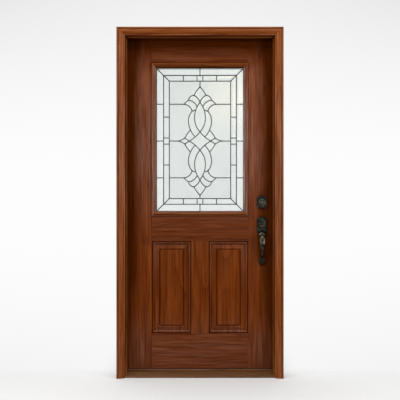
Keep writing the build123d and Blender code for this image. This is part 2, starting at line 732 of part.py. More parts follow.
def strike_box(z):
    """Pocket for the bolt through a strike plate and into the jamb."""
    half = BOLT_RADIUS + STRIKE_PLAY
    rise = 1.6 * half
    depth = 0.65 * (FRAME_X - RABBET_X)
    return block(RABBET_X, RABBET_X + depth, CORE_Y - half, CORE_Y + half, z - rise, z + rise)


def lock_nodes():
    """Bolts, edge plates and strikes of the latch and the deadbolt."""
    heights = (LATCH_Z, BOLT_Z)
    write(Part() + [faceplate(z) - bolt(z, BOLT_PLAY) for z in heights], "lock_faceplates")
    write(Part() + [bolt(z, 0) for z in heights], "lock_bolts")
    write(Part() + [strike_blank(z) - strike_box(z) for z in heights], "strike_plates")


def shield(width, height, arch, foot_arch):
    """Upright plate outline with an arched head, and a foot arched as far as given."""
    w = width / 2
    h = height / 2
    foot = Line((w, -h), (-w, -h))
    if foot_arch > 0:
        foot = ThreePointArc((w, foot_arch - h), (0, -h), (-w, foot_arch - h))
    return outline(
        Line((-w, foot_arch - h), (-w, h - arch)),
        ThreePointArc((-w, h - arch), (0, h), (w, h - arch)),
        Line((w, h - arch), (w, foot_arch - h)),
        foot,
    )


def stepped_plate(height, foot_arch, depth):
    """Cast plate with a chamfered border and a raised, chamfered field."""
    edge = 0.15 * depth
    inset = 0.2 * PLATE_WIDTH
    border = raised(shield(PLATE_WIDTH, height, PLATE_ARCH, foot_arch), 0, 0.5 * depth)
    border = chamfer(border.faces().sort_by(Axis.Z)[-1].edges(), edge)
    field = raised(shield(PLATE_WIDTH - inset, height - inset, PLATE_ARCH, foot_arch), 0, depth)
    return border + chamfer(field.faces().sort_by(Axis.Z)[-1].edges(), edge)


def across(x, y, radius, length):
    """Round bar along the plate's x, at height y over its middle and x out of the slab."""
    return Pos(0, y, x) * (Rot(0, 90, 0) * Cylinder(radius, length))


def handle_escutcheon():
    """Arched plate, hollow behind its field, with the thumb slot and sockets for the pivot."""
    depth = ESCUTCHEON_DEPTH
    wall = 0.1 * PLATE_WIDTH
    hollow_width = 0.8 * PLATE_WIDTH - 2 * wall
    plate = stepped_plate(ESCUTCHEON_HEIGHT, 0, depth)
    hollow = Pos(0, THUMB_DROP) * Rectangle(hollow_width, 0.35 * ESCUTCHEON_HEIGHT)
    plate -= raised(hollow, 0, depth - ESCUTCHEON_WALL)
    slot_height = THUMB_THICK + 2 * (THUMB_CLEAR + SLOT_SPARE)
    slot = Pos(0, THUMB_DROP) * Rectangle(THUMB_NECK + 2 * THUMB_CLEAR, slot_height)
    plate -= raised(slot, 0, depth)
    return plate - across(THUMB_OUT, THUMB_DROP, TRUNNION_RADIUS + TURN_PLAY, hollow_width + 1.2 * wall)


def thumb_piece():
    """Thumb lever: trunnion in the escutcheon's sockets, narrow neck and dished round pad."""
    wall = 0.1 * PLATE_WIDTH
    trunnion = across(THUMB_OUT, THUMB_DROP, TRUNNION_RADIUS, 0.8 * PLATE_WIDTH - wall)
    side = Plane((0, THUMB_DROP, THUMB_OUT), x_dir=(0, 0, 1), z_dir=(-1, 0, 0))
    t = THUMB_THICK / 2
    root = ESCUTCHEON_DEPTH - THUMB_OUT + THUMB_CLEAR + t / 3
    tip = THUMB_REACH - THUMB_OUT
    flare = 2 * t
    bar = side * polygon((0, -t), (root + flare, -t), (root + flare, t), (0, t))
    dish = side * outline(
        ThreePointArc((root, t), ((root + tip) / 2, 0.2 * t), (tip, 1.5 * t)),
        Line((tip, 1.5 * t), (tip, 0.3 * t)),
        ThreePointArc((tip, 0.3 * t), ((root + tip) / 2, -t), (root, -t)),
        Line((root, -t), (root, t)),
    )
    half = THUMB_WIDTH / 2
    plan = Plane((0, THUMB_DROP, THUMB_OUT), x_dir=(1, 0, 0), z_dir=(0, -1, 0)) * outline(
        Polyline((-0.8 * half, root), (-half, root + flare), (-half, tip - half)),
        ThreePointArc((-half, tip - half), (0, tip), (half, tip - half)),
        Polyline((half, tip - half), (half, root + flare), (0.8 * half, root), (-0.8 * half, root)),
    )
    pad = extrude(dish, amount=half, both=True) & extrude(plan, amount=3 * THUMB_THICK, both=True)
    return trunnion + extrude(bar, amount=THUMB_NECK / 2, both=True) + pad


def grip_handle():
    """Cast grip: springs from under the escutcheon, swells, thins and dives into its foot."""
    top = ESCUTCHEON_RISE - ESCUTCHEON_HEIGHT / 2
    drop = GRIP_DROP
    out = GRIP_REACH
    stations = [
        (0.0, 0.48 * ESCUTCHEON_DEPTH, 0.0, 0.78, 0.69),
        (0.05, 0.32 * out, 1.2, 0.9, 0.88),
        (0.12, 0.66 * out, 1.0, 1.0, 1.0),
        (0.25, 0.93 * out, 0.3, 0.92, 1.0),
        (0.42, 0.99 * out, -0.05, 0.8, 1.0),
        (0.6, 0.88 * out, -0.35, 0.66, 0.94),
        (0.76, 0.63 * out, -0.65, 0.54, 0.88),
        (0.88, 0.34 * out, -0.9, 0.47, 0.81),
        (0.97, 0.11 * out, -1.0, 0.47, 0.75),
    ]
    sections = []
    for share, height, slope, wide, thick in stations:
        cut = Plane((0, top - share * drop, height), x_dir=(1, 0, 0), z_dir=(0, -1, slope))
        sections.append(cut * Ellipse(wide * GRIP_WIDTH / 2, thick * GRIP_THICK / 2))
    foot = raised(Pos(0, top - drop) * Ellipse(0.34 * PLATE_WIDTH, 0.42 * PLATE_WIDTH), 0, FOOT_DEPTH)
    foot = chamfer(foot.faces().sort_by(Axis.Z)[-1].edges(), 0.35 * FOOT_DEPTH)
    return loft(sections) + foot


def deadbolt_rose():
    """Arched plate with a tapered guard, dished in front and bored for the key plug."""
    plate = stepped_plate(DEADBOLT_HEIGHT, PLATE_ARCH, ROSE_DEPTH)
    rise = GUARD_DEPTH - 0.5 * ROSE_DEPTH
    guard = Pos(0, 0, GUARD_DEPTH - rise / 2) * Cone(GUARD_RADIUS, 0.84 * GUARD_RADIUS, rise)
    dish = raised(Circle(0.68 * GUARD_RADIUS), GUARD_DEPTH - GUARD_DISH, GUARD_DEPTH)
    return plate + guard - dish - raised(Circle(PLUG_RADIUS + TURN_PLAY), PLUG_FOOT, GUARD_DEPTH)


def deadbolt_plug():
    """Key plug with its keyway."""
    face = GUARD_DEPTH + PLUG_PROUD
    plug = raised(Circle(PLUG_RADIUS), PLUG_FOOT + PLUG_PLAY, face)
    keyway = Rectangle(0.28 * PLUG_RADIUS, 1.4 * PLUG_RADIUS)
    return plug - raised(keyway, GUARD_DEPTH - 0.5 * PLUG_RADIUS, face)


def turned(*edges):
    """Round piece from half a section drawn (radius, height out of the slab)."""
    return revolve(Plane.XZ * outline(*edges), Axis.Z)


def round_rose(radius, depth):
    """Round plate with a sloped rim."""
    rim = 0.88 * radius
    return turned(Polyline((0, 0), (radius, 0), (radius, 0.4 * depth), (rim, depth), (0, depth), (0, 0)))


def inside_knob():
    """Turned knob on its neck, from the rose outwards."""
    r = KNOB_RADIUS
    d0 = ROSE_DEPTH
    d1 = KNOB_REACH
    neck = 0.45 * r
    waist = d0 + 0.28 * (d1 - d0)
    return turned(
        Polyline((0, d0), (neck, d0), (neck, waist)),
        ThreePointArc((neck, waist), (r, 0.5 * (waist + d1)), (0.7 * r, d1)),
        Polyline((0.7 * r, d1), (0, d1), (0, d0)),
    )


def thumbturn():
    """Turn piece: stem and flat oval blade."""
    stem = raised(Circle(0.2 * ROSE_RADIUS), ROSE_DEPTH, 1.8 * ROSE_DEPTH)
    blade = Rot(0, 0, 90) * SlotOverall(1.4 * ROSE_RADIUS, 0.4 * ROSE_RADIUS)
    return stem + raised(blade, 1.8 * ROSE_DEPTH, TURN_REACH)


def handle_nodes():
    """Handle set outside, knob and turn inside."""
    plate = outside_at(LATCH_Z + ESCUTCHEON_RISE)
    write(plate * handle_escutcheon(), "handle_escutcheon")
    write(plate * thumb_piece(), "thumb_piece")
    write(outside_at(LATCH_Z) * grip_handle(), "grip_handle")
    write(outside_at(BOLT_Z) * deadbolt_rose(), "deadbolt_rose")
    write(outside_at(BOLT_Z) * deadbolt_plug(), "deadbolt_plug")
    write(inside_at(LATCH_Z) * round_rose(ROSE_RADIUS, ROSE_DEPTH), "knob_rose")
    write(inside_at(LATCH_Z) * inside_knob(), "inside_knob")
    write(inside_at(BOLT_Z) * round_rose(ROSE_RADIUS, ROSE_DEPTH), "thumbturn_rose")
    write(inside_at(BOLT_Z) * thumbturn(), "thumbturn")


def main():
    """Build every node."""
    os.makedirs("parts", exist_ok=True)
    slab_nodes()
    lite_nodes()
    frame_nodes()
    sill_nodes()
    hinge_nodes()
    lock_nodes()
    handle_nodes()


main()
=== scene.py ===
import logging
import math
from dataclasses import dataclass
from enum import Enum
from functools import reduce
from typing import Any, NamedTuple, Optional, Sequence, Union

import bmesh
import bpy
import numpy as np
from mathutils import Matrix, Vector


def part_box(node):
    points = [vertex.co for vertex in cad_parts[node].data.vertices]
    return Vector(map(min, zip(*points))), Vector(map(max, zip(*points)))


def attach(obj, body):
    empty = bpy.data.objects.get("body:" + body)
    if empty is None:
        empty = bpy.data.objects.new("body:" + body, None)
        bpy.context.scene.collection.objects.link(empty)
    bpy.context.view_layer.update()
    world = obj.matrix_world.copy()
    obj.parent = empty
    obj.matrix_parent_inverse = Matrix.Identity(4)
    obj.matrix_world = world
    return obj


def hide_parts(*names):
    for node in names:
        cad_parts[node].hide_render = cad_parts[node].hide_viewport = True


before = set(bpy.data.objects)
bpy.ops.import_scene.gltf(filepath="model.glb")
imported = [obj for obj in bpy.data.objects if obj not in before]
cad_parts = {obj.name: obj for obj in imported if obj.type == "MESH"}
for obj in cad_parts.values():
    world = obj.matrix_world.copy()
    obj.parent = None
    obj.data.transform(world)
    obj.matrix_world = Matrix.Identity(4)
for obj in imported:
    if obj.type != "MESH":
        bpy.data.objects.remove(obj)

log = logging.getLogger("entrance_door")

Array = np.ndarray
Colour = tuple[float, float, float]
Point = tuple[float, float, float]
Range = tuple[float, float]
Term = Union["Value", float]
Spots = tuple[Array, Array]

TOUCH = 1e-6
SHARP_ANGLE = math.radians(40)
LITE_FACE = 0.031
QUARTERS = np.array(((1, 1), (-1, 1), (1, -1), (-1, -1)), float)
HINGES = ("top", "middle", "bottom")


def screen(red: float, green: float, blue: float) -> Colour:
    """Linear colour of a screen colour.

    Args:
        red: From 0 to 255, as the others.
        green: Green part.
        blue: Blue part.

    Returns:
        The three parts from 0 to 1.
    """
    shown = np.array((red, green, blue)) / 255
    linear = np.where(shown <= 0.04045, shown / 12.92, ((shown + 0.055) / 1.055) ** 2.4)
    return tuple(float(part) for part in linear)


def darker(colour: Colour, share: float) -> Colour:
    """A share of a colour."""
    return tuple(part * share for part in colour)


def turns(count: int) -> Array:
    """Even angles round a circle, without the last that closes it."""
    return np.linspace(0, 2 * np.pi, count, endpoint=False)


# Shader maths


class Value:
    """A shader number: wraps a socket, and its operators add Math nodes."""

    def __init__(self, graph: "Graph", socket: bpy.types.NodeSocket) -> None:
        """Keep the graph that the socket belongs to."""
        self.graph = graph
        self.socket = socket

    def math(self, operation: str, *others: Term, first: bool = True) -> "Value":
        """Add one Math node.

        Args:
            operation: Blender's name of the operation.
            others: The other terms, in order.
            first: Whether this value is the first term, or the second.

        Returns:
            The node's result.
        """
        terms = (self, *others) if first else (others[0], self, *others[1:])
        made = self.graph.node("ShaderNodeMath", {"operation": operation}, dict(enumerate(terms)))
        return Value(self.graph, made.outputs[0])

    def __add__(self, other: Term) -> "Value":
        """Sum."""
        return self.math("ADD", other)

    def __radd__(self, other: float) -> "Value":
        """Sum with a number on the left."""
        return self.math("ADD", other)

    def __sub__(self, other: Term) -> "Value":
        """Difference."""
        return self.math("SUBTRACT", other)

    def __rsub__(self, other: float) -> "Value":
        """Difference from a number on the left."""
        return self.math("SUBTRACT", other, first=False)

    def __mul__(self, other: Term) -> "Value":
        """Product."""
        return self.math("MULTIPLY", other)

    def __rmul__(self, other: float) -> "Value":
        """Product with a number on the left."""
        return self.math("MULTIPLY", other)

    def __truediv__(self, other: Term) -> "Value":
        """Quotient."""
        return self.math("DIVIDE", other)

    def __pow__(self, other: float) -> "Value":
        """Power."""
        return self.math("POWER", other)

    def __gt__(self, other: Term) -> "Value":
        """1 where this is the greater, else 0."""
        return self.math("GREATER_THAN", other)

    def __lt__(self, other: Term) -> "Value":
        """1 where this is the smaller, else 0."""
        return self.math("LESS_THAN", other)

    def __abs__(self) -> "Value":
        """Size without sign."""
        return self.math("ABSOLUTE")

    def fraction(self) -> "Value":
        """Part after the decimal point."""
        return self.math("FRACT")

    def bell(self, centre: float, width: float) -> "Value":
        """Bell curve of height 1."""
        step = (self - centre) / width
        return (step * step * -1.0).math("EXPONENT")

    def least(self, other: Term) -> "Value":
        """The smaller of two."""
        return self.math("MINIMUM", other)

    def most(self, other: Term) -> "Value":
        """The greater of two."""
        return self.math("MAXIMUM", other)

    def ramp(self, low: float, high: float) -> "Value":
        """Smooth step.

        Args:
            low: Where it leaves 0.
            high: Where it reaches 1.

        Returns:
            The step, from 0 to 1.
        """
        made = self.graph.node(
            "ShaderNodeMapRange",
            {"interpolation_type": "SMOOTHSTEP", "clamp": True},
            {0: self, 1: low, 2: high, 3: 0.0, 4: 1.0},
        )
        return Value(self.graph, made.outputs[0])


class Ray(Enum):
    """Kinds of light path, by Blender's names."""

    CAMERA = "Is Camera Ray"
    GLOSSY = "Is Glossy Ray"
    TRANSMISSION = "Is Transmission Ray"


class Graph:
    """A material's or world's nodes."""

    def __init__(self, tree: bpy.types.NodeTree) -> None:
        """Start from an empty tree."""
        self.tree = tree
        tree.nodes.clear()

    def node(
        self,
        kind: str,
        settings: Optional[dict[str, Any]] = None,
        sockets: Optional[dict[Union[str, int], Any]] = None,
    ) -> bpy.types.Node:
        """Add any node.

        Args:
            kind: Blender's node type.
            settings: Properties, set first; "stops" are a colour ramp's (place, colour) pairs.
            sockets: Values, plain sockets or constants by input name or number.

        Returns:
            The new node.
        """
        made = self.tree.nodes.new(kind)
        for key, value in (settings or {}).items():
            if key == "stops":
                self._set_stops(made.color_ramp, value)
            else:
                setattr(made, key, value)
        for key, value in (sockets or {}).items():
            if isinstance(value, Value):
                value = value.socket
            if isinstance(value, bpy.types.NodeSocket):
                self.tree.links.new(value, made.inputs[key])
            else:
                made.inputs[key].default_value = value
        return made

    @staticmethod
    def _set_stops(ramp: bpy.types.ColorRamp, stops: Sequence[tuple[float, Colour]]) -> None:
        """Give a colour ramp its stops.

        Args:
            ramp: The ramp, with fewer elements than stops.
            stops: Places and colours.
        """
        while len(ramp.elements) < len(stops):
            ramp.elements.new(1.0)
        for element, (place, colour) in zip(ramp.elements, stops):
            element.position = place
            element.color = (*colour, 1.0)

    def place(self, output: str = "Object") -> tuple[Value, Value, Value]:
        """Coordinates, in metres for an object.

        Args:
            output: Which of Blender's coordinates.

        Returns:
            The values x, y and z.
        """
        point = self.node("ShaderNodeTexCoord")
        parts = self.node("ShaderNodeSeparateXYZ", None, {0: point.outputs[output]})
        return tuple(Value(self, parts.outputs[n]) for n in range(3))

    def seen(self, *rays: Ray) -> Value:
        """1 on rays of the given kinds, else 0.

        Args:
            rays: The kinds.

        Returns:
            The mark.
        """
        path = self.node("ShaderNodeLightPath")
        return reduce(Value.most, [Value(self, path.outputs[ray.value]) for ray in rays])

    def vector(self, x: Any, y: Any, z: Any) -> bpy.types.NodeSocket:
        """A vector of three values or numbers."""
        return self.node("ShaderNodeCombineXYZ", None, {0: x, 1: y, 2: z}).outputs[0]

    def noise(
        self, point: bpy.types.NodeSocket, scale: float, detail: float = 2.0, keep: float = 0.5
    ) -> Value:
        """Smooth noise from about 0 to 1.

        Args:
            point: Where it is read.
            scale: Features per unit.
            detail: Octaves.
            keep: Share that each octave keeps.

        Returns:
            The noise.
        """
        made = self.node(
            "ShaderNodeTexNoise",
            None,
            {"Vector": point, "Scale": scale, "Detail": detail, "Roughness": keep},
        )
        return Value(self, made.outputs[0])

    def colours(self, factor: Value, stops: Sequence[tuple[float, Colour]]) -> bpy.types.NodeSocket:
        """Colour ramp over a value."""
        return self.node("ShaderNodeValToRGB", {"stops": stops}, {0: factor}).outputs[0]

    def blend(self, factor: Value, one: Any, two: Any) -> bpy.types.NodeSocket:
        """Mix of two colours.

        Args:
            factor: 0 for the first, 1 for the second.
            one: First colour, a socket or a Colour.
            two: Second colour.

        Returns:
            The mixed colour.
        """
        pair = [(*part, 1.0) if isinstance(part, tuple) else part for part in (one, two)]
        sockets = {0: factor, 6: pair[0], 7: pair[1]}
        return self.node("ShaderNodeMix", {"data_type": "RGBA"}, sockets).outputs[2]

    def openness(self, reach: float, inside: bool = False) -> Value:
        """How open a surface lies to what is within reach.

        Args:
            reach: How far it looks.
            inside: Whether it looks into the body, which tells outer edges, and not out of it.

        Returns:
            1 on a flat, about 0.5 in a corner, or at an edge where it looks inside.
        """
        settings = {"samples": 16, "inside": inside}
        made = self.node("ShaderNodeAmbientOcclusion", settings, {"Distance": reach})
        return Value(self, made.outputs["AO"])

    def bump(self, height: Value, strength: float, distance: float) -> bpy.types.NodeSocket:
        """Normal bent by a height."""
        sockets = {"Strength": strength, "Distance": distance, "Height": height}
        return self.node("ShaderNodeBump", None, sockets).outputs[0]


# Finishes


class Finish:
    """A surface finish that is made into a material once."""

    name: str

    def paint(self, graph: Graph) -> dict[str, Any]:
        """Add the finish's nodes and give the shader's inputs."""
        raise NotImplementedError

    def material(self) -> bpy.types.Material:
        """The finish as a material, made at its first use.

        Returns:
            The material.
        """
        found = bpy.data.materials.get(self.name)
        if found is not None:
            return found
        made = bpy.data.materials.new(self.name)
        made.use_nodes = True
        graph = Graph(made.node_tree)
        shader = graph.node("ShaderNodeBsdfPrincipled", None, self.paint(graph))
        graph.node("ShaderNodeOutputMaterial", None, {"Surface": shader.outputs[0]})
        return made


class GrainRun(Enum):
    """Which way the grain runs on a piece."""

    UPRIGHT = "upright"
    LEVEL = "level"
    SLAB = "slab"
    RING = "ring"


class Stain(Enum):
    """Dark, middle and light tone of each stained piece, as screen colours."""

    SLAB = ((56, 19, 0), (88, 37, 4), (116, 54, 10))
    LITE_FRAME = ((64, 29, 8), (99, 50, 19), (126, 69, 29))
    SLAB_EDGE = ((70, 32, 12), (108, 56, 24), (134, 76, 38))
    FRAME = ((70, 30, 6), (107, 53, 16), (132, 71, 26))
    SILL_CORE = ((120, 84, 48), (160, 118, 74), (186, 146, 98))
    THRESHOLD = ((50, 26, 10), (82, 46, 20), (106, 64, 32))

    def tones(self) -> list[Colour]:
        """The three tones as linear colours."""
        return [screen(*tone) for tone in self.value]


@dataclass(frozen=True)
class SlabLayout:
    """Places on the slab's face, in metres."""

    slab_half: float
    slab_high: float
    lite_half: float
    lite_low: float
    lite_high: float
    panel_low: float
    panel_high: float
    lite_face: float = LITE_FACE
    mullion_half: float = 0.054
    moulding: float = 0.055

    @classmethod
    def read(cls, bottom_rail: float = 0.214, lock_rail: float = 0.156) -> "SlabLayout":
        """Take the places from the CAD nodes.

        Args:
            bottom_rail: Height of the bottom rail.
            lock_rail: Height of the lock rail.

        Returns:
            The layout.
        """
        low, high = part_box("exterior_lite_frame")
        skin_low, skin_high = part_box("exterior_skin")
        return cls(
            slab_half=skin_high.x,
            slab_high=skin_high.z,
            lite_half=high.x,
            lite_low=low.z,
            lite_high=high.z,
            panel_low=skin_low.z + bottom_rail,
            panel_high=low.z - lock_rail,
        )

    @property
    def lite_middle(self) -> float:
        """Height of the lite's middle."""
        return (self.lite_low + self.lite_high) / 2

    @property
    def lite_tall(self) -> float:
        """Half the lite's height."""
        return (self.lite_high - self.lite_low) / 2


@dataclass(frozen=True)
class GrainLayer:
    """Noise drawn out along the grain: features per metre, octaves and the share each keeps."""

    across: float
    along: float
    detail: float = 2.0
    keep: float = 0.5

    def draw(self, graph: Graph, across: Value, y: Value, along: Value) -> Value:
        """The layer at a place that lies across, deep and along the board."""
        point = graph.vector(across * self.across, y * self.across, along * self.along)
        return graph.noise(point, 1.0, self.detail, self.keep)


SWAY = GrainLayer(9.0, 1.6)
GROWTH = GrainLayer(4.2, 0.5, 1.0, 0.4)
STREAK = GrainLayer(110.0, 3.5, 3.0, 0.6)
BAND = GrainLayer(34.0, 1.5)
TONE = GrainLayer(5.0, 0.9)
PORE = GrainLayer(520.0, 9.0, 1.0)
FADE = GrainLayer(14.0, 2.5)


class BoardShift(float, Enum):
    """How far the grain of a board is moved, so that no two boards look cut from one."""

    RAIL = 3.1
    TOP = 1.3
    BOTTOM = 2.3
    PANEL = 5.7
    RIGHT = 1.9
    RIGHT_BAR = 1.7


class Groove(NamedTuple):
    """A groove of the panel moulding: share of its width, half width in metres and darkness."""

    share: float
    width: float
    dark: float


# Groove lines: dark stain and painted shade.
QUIRK = Groove(0.055, 0.0026, 0.65)
COVE = Groove(0.36, 0.0034, 0.55)
FIELD_EDGE = Groove(0.9, 0.003, 0.2)


@dataclass(frozen=True)
class GlazeAndShade:
    """Painted shade beside the jambs, under the head, in corners, in deep holes, along the lite
    frame's lip and on the panel field's edge line, and real dark joint lines: reach and ranges of
    openness, then metres, then shares.
    """

    # Painted shade: reaches and openness ranges that darken corners, deep holes, the slab beside
    # the jambs and under the head.
    frame_reach: float = 0.12
    frame_corner: Range = (0.6, 0.82)
    reach: float = 0.25
    corner: Range = (0.55, 0.8)
    deep: Range = (0.12, 0.45)
    beside: Range = (0.74, 0.87)
    below: Range = (0.745, 0.955)
    frame_foot: Range = (0.03, 0.16)
    corner_foot: Range = (0.05, 0.5)
    beside_foot: Range = (0.15, 0.65)
    from_side: Range = (0.075, 0.12)
    from_head: Range = (0.13, 0.24)
    joint_line: Range = (0.0004, 0.0014)
    # Painted shade: a dark line along the lite frame's inner lip, wider on the upper bar.
    lip_line: Range = (0.002, 0.006)
    top_lip: float = 0.0035
    corner_base: float = 0.35
    side_ease: float = 0.45
    joint_dark: float = 0.4
    lip_shade: float = 0.8
    # Painted shade on the field's edge line: less at the top, more at the foot.
    top_ease: float = 0.1
    foot_gain: float = 0.22
    shade: float = 0.3


@dataclass(frozen=True)
class Figure:
    """How the parts of the grain add up to its tone: shares, and ranges of noise or height."""

    mean: float = 0.66
    ring: float = 0.3
    ring_power: float = 2.5
    pore: float = 0.3
    band: float = 0.6
    broad: float = 0.4
    field: float = 0.04
    # Painted shade: how much darker the slab gets towards the bottom.
    bottom_rail: float = 0.1
    lock_rail: float = 0.07
    pore_range: Range = (0.54, 0.7)
    fade_range: Range = (0.25, 0.65)
    bottom_range: Range = (0.2, 0.3)


@dataclass(frozen=True)
class Coat:
    """Where the clear coat is thin: shares that it loses, and how it follows the streaks."""

    pore: float = 0.7
    level_bar: float = 0.7
    top_bar: float = 0.25
    moulding: float = 0.35
    streak_range: Range = (0.35, 0.65)
    streak_gain: float = 1.2
    streak_base: float = 0.4


@dataclass(frozen=True)
class StainedGrain(Finish):
    """Stained wood grain under a satin clear coat: rings, streaks, pores and broad tone."""

    name: str
    run: GrainRun
    layout: SlabLayout
    stain: Stain
    rough: float = 0.2
    rings: float = 20.0
    seed: float = 0.0
    # Strength of the painted shade.
    painted_shade_strength: float = 0.58
    gloss: float = 0.5
    wander: float = 0.012
    relief: float = 0.0004
    bump: float = 0.25
    ring_depth: float = 0.35
    under_rough: float = 0.42
    uneven: float = 0.1
    glaze_and_shade: GlazeAndShade = GlazeAndShade()
    figure: Figure = Figure()
    coat: Coat = Coat()

    def level(self, x: Value, z: Value) -> tuple[Any, Any]:
        """Lay out the boards of a piece.

        Args:
            x: Place across the door.
            z: Height.

        Returns:
            1 where the grain runs along X, and a shift that sets the boards of one face apart.
        """
        at = self.layout
        if self.run is GrainRun.UPRIGHT:
            return 0.0, self.seed
        if self.run is GrainRun.LEVEL:
            return 1.0, self.seed
        if self.run is GrainRun.RING:
            rail = (abs(z - at.lite_middle) - at.lite_tall) > (abs(x) - at.lite_half)
            return rail, rail * BoardShift.RAIL + (x > 0.0) * BoardShift.RIGHT_BAR + self.seed
        between = abs(x) < at.lite_half
        top = z > at.lite_middle
        bottom = z < at.panel_low
        lock = (z > at.panel_high) * (z < at.lite_middle)
        rail = between * (top + bottom + lock)
        panel = between * (1 - rail) * (abs(x) > at.mullion_half)
        right = (1 - rail) * (x > at.mullion_half)
        shift = rail * (top * BoardShift.TOP + bottom * BoardShift.BOTTOM + BoardShift.RAIL)
        shift = shift + panel * BoardShift.PANEL + right * BoardShift.RIGHT
        return rail, shift + self.seed

    def lock_rail(self, z: Value) -> Value:
        """1 at the height of the lock rail, else 0."""
        return (z > self.layout.panel_high) * (z < self.layout.lite_low)

    def board(self, x: Value, z: Value) -> Any:
        """How the boards of the slab differ in tone: lighter panel fields, a darker lock rail, and
        painted shade that darkens the slab towards the bottom.

        Args:
            x: Place across the door.
            z: Height.

        Returns:
            How much lighter than the rest, from -0.1 to 0.04.
        """
        if self.run is not GrainRun.SLAB:
            return 0.0
        at = self.layout
        field = self.panel_depth(x, z).ramp(FIELD_EDGE.share * at.moulding, at.moulding)
        lock = self.lock_rail(z) * (abs(x) < at.lite_half)
        # Painted shade: darker towards the bottom.
        bottom = 1 - z.ramp(*self.figure.bottom_range)
        rails = bottom * self.figure.bottom_rail + lock * self.figure.lock_rail
        return field * self.figure.field - rails

    def joints(self, x: Value, z: Value) -> Value:
        """Fine dark line where a rail of the slab meets a stile.

        Args:
            x: Place across the door.
            z: Height.

        Returns:
            1 on the line, else 0.
        """
        line = 1 - abs(abs(x) - self.layout.lite_half).ramp(*self.glaze_and_shade.joint_line)
        past = (z > self.layout.lite_high) + (z < self.layout.panel_low)
        return line * (past + self.lock_rail(z))

    def panel_depth(self, x: Value, z: Value) -> Value:
        """How far a place lies inside the nearest panel's outline.

        Args:
            x: Place across the door.
            z: Height.

        Returns:
            The distance from the outline, negative outside it.
        """
        at = self.layout
        wide = (at.lite_half - at.mullion_half) / 2
        tall = (at.panel_high - at.panel_low) / 2
        from_side = wide - abs(abs(x) - (at.lite_half + at.mullion_half) / 2)
        from_end = tall - abs(z - (at.panel_high + at.panel_low) / 2)
        return from_side.least(from_end)

    def grooves(self, inward: Value, z: Value) -> Value:
        """Dark stain and painted shade in the three grooves of the panel mouldings.

        Args:
            inward: How far a place lies inside the panel.
            z: Height.

        Returns:
            The strength of stain and painted shade; round the field, painted shade makes it most at
            the foot and least at the top.
        """
        width = self.layout.moulding
        top = z > self.layout.panel_high - width
        foot = z < self.layout.panel_low + width
        lines = [inward.bell(part.share * width, part.width) for part in (QUIRK, COVE, FIELD_EDGE)]
        # Painted shade: the field's edge line is darker at the foot and lighter at the top, as if
        # lit from above.
        edge = FIELD_EDGE.dark - top * self.glaze_and_shade.top_ease + foot * self.glaze_and_shade.foot_gain
        return lines[0] * QUIRK.dark + lines[1] * COVE.dark + lines[2] * edge

    def lip(self, x: Value, z: Value) -> Value:
        """How far a place on the lite frame lies outside the glass.

        Args:
            x: Place across the door.
            z: Height.

        Returns:
            The distance from the edge of the glass.
        """
        at = self.layout
        from_side = abs(x) - (at.lite_half - at.lite_face)
        from_end = abs(z - at.lite_middle) - (at.lite_tall - at.lite_face)
        return from_side.most(from_end)

    def painted_shade_mask(self, graph: Graph, x: Value, z: Value) -> Value:
        """Painted shade from ambient occlusion, where the coat is also dull.

        Args:
            graph: The material's nodes.
            x: Place across the door.
            z: Height.

        Returns:
            0 in the open, 1 in corners and beside the jambs, more in deep holes.
        """
        limits = self.glaze_and_shade
        if self.run is not GrainRun.SLAB:
            # Painted shade in the corners of the frame's pieces, fading out near the floor.
            lit = graph.openness(limits.frame_reach)
            return (1 - lit.ramp(*limits.frame_corner)) * z.ramp(*limits.frame_foot)
        # Painted shade on the slab: corners, deep holes, beside the jambs and under the head.
        lit = graph.openness(limits.reach)
        base = limits.corner_base
        corner = (1 - lit.ramp(*limits.corner)) * (z.ramp(*limits.corner_foot) * (1 - base) + base)
        deep = (1 - lit.ramp(*limits.deep)) / self.painted_shade_strength
        side = 1 - (self.layout.slab_half - abs(x)).ramp(*limits.from_side)
        head = 1 - (self.layout.slab_high - z).ramp(*limits.from_head)
        beside = (1 - lit.ramp(*limits.beside)) * side * z.ramp(*limits.beside_foot)
        below = (1 - lit.ramp(*limits.below)) * head * (1 - side * limits.side_ease)
        return corner.most(beside).most(below).most(deep)

    def paint(self, graph: Graph) -> dict[str, Any]:
        """Grain colours with painted shade, gloss and pores.

        Args:
            graph: The material's nodes.

        Returns:
            The shader's inputs.
        """
        figure, thin = self.figure, self.coat
        x, y, z = graph.place()
        rail, shift = self.level(x, z)
        across = x + (z - x) * rail + shift
        along = z + (x - z) * rail
        bent = across + (SWAY.draw(graph, across, y, along) - 0.5) * self.wander
        ring = (GROWTH.draw(graph, bent, y, along) * self.rings).fraction() ** figure.ring_power
        streak, band, pore = (layer.draw(graph, bent, y, along) for layer in (STREAK, BAND, PORE))
        tone, fade = (layer.draw(graph, across, y, along) for layer in (TONE, FADE))
        pore = pore.ramp(*figure.pore_range)
        lines = ring * fade.ramp(*figure.fade_range) * figure.ring + pore * figure.pore
        drift = (streak - 0.5) + (band - 0.5) * figure.band + (tone - 0.5) * figure.broad
        shade = figure.mean - lines + drift + self.board(x, z)
        dark, middle, light = self.stain.tones()
        base = graph.colours(shade, ((0.0, dark), (0.5, middle), (1.0, light)))
        # Painted shade: darker colour and a thinner coat where the surface is sheltered.
        painted_shade_mask = self.painted_shade_mask(graph, x, z)
        streaky = streak.ramp(*thin.streak_range) * thin.streak_gain + thin.streak_base
        coat = (1 - painted_shade_mask).most(0.0) * (1 - pore * thin.pore) * streaky * self.gloss
        coat, glaze_and_shade = self.trim(coat, painted_shade_mask * self.painted_shade_strength, rail, x, z)
        return {
            "Base Color": graph.blend(glaze_and_shade, base, darker(dark, self.glaze_and_shade.shade)),
            "Roughness": (pore + streak - 0.5) * self.uneven + self.under_rough,
            "Normal": graph.bump(0.0 - pore - ring * self.ring_depth, self.bump, self.relief),
            "Specular IOR Level": 0.0,
            "Coat Weight": coat,
            "Coat Roughness": self.rough,
        }

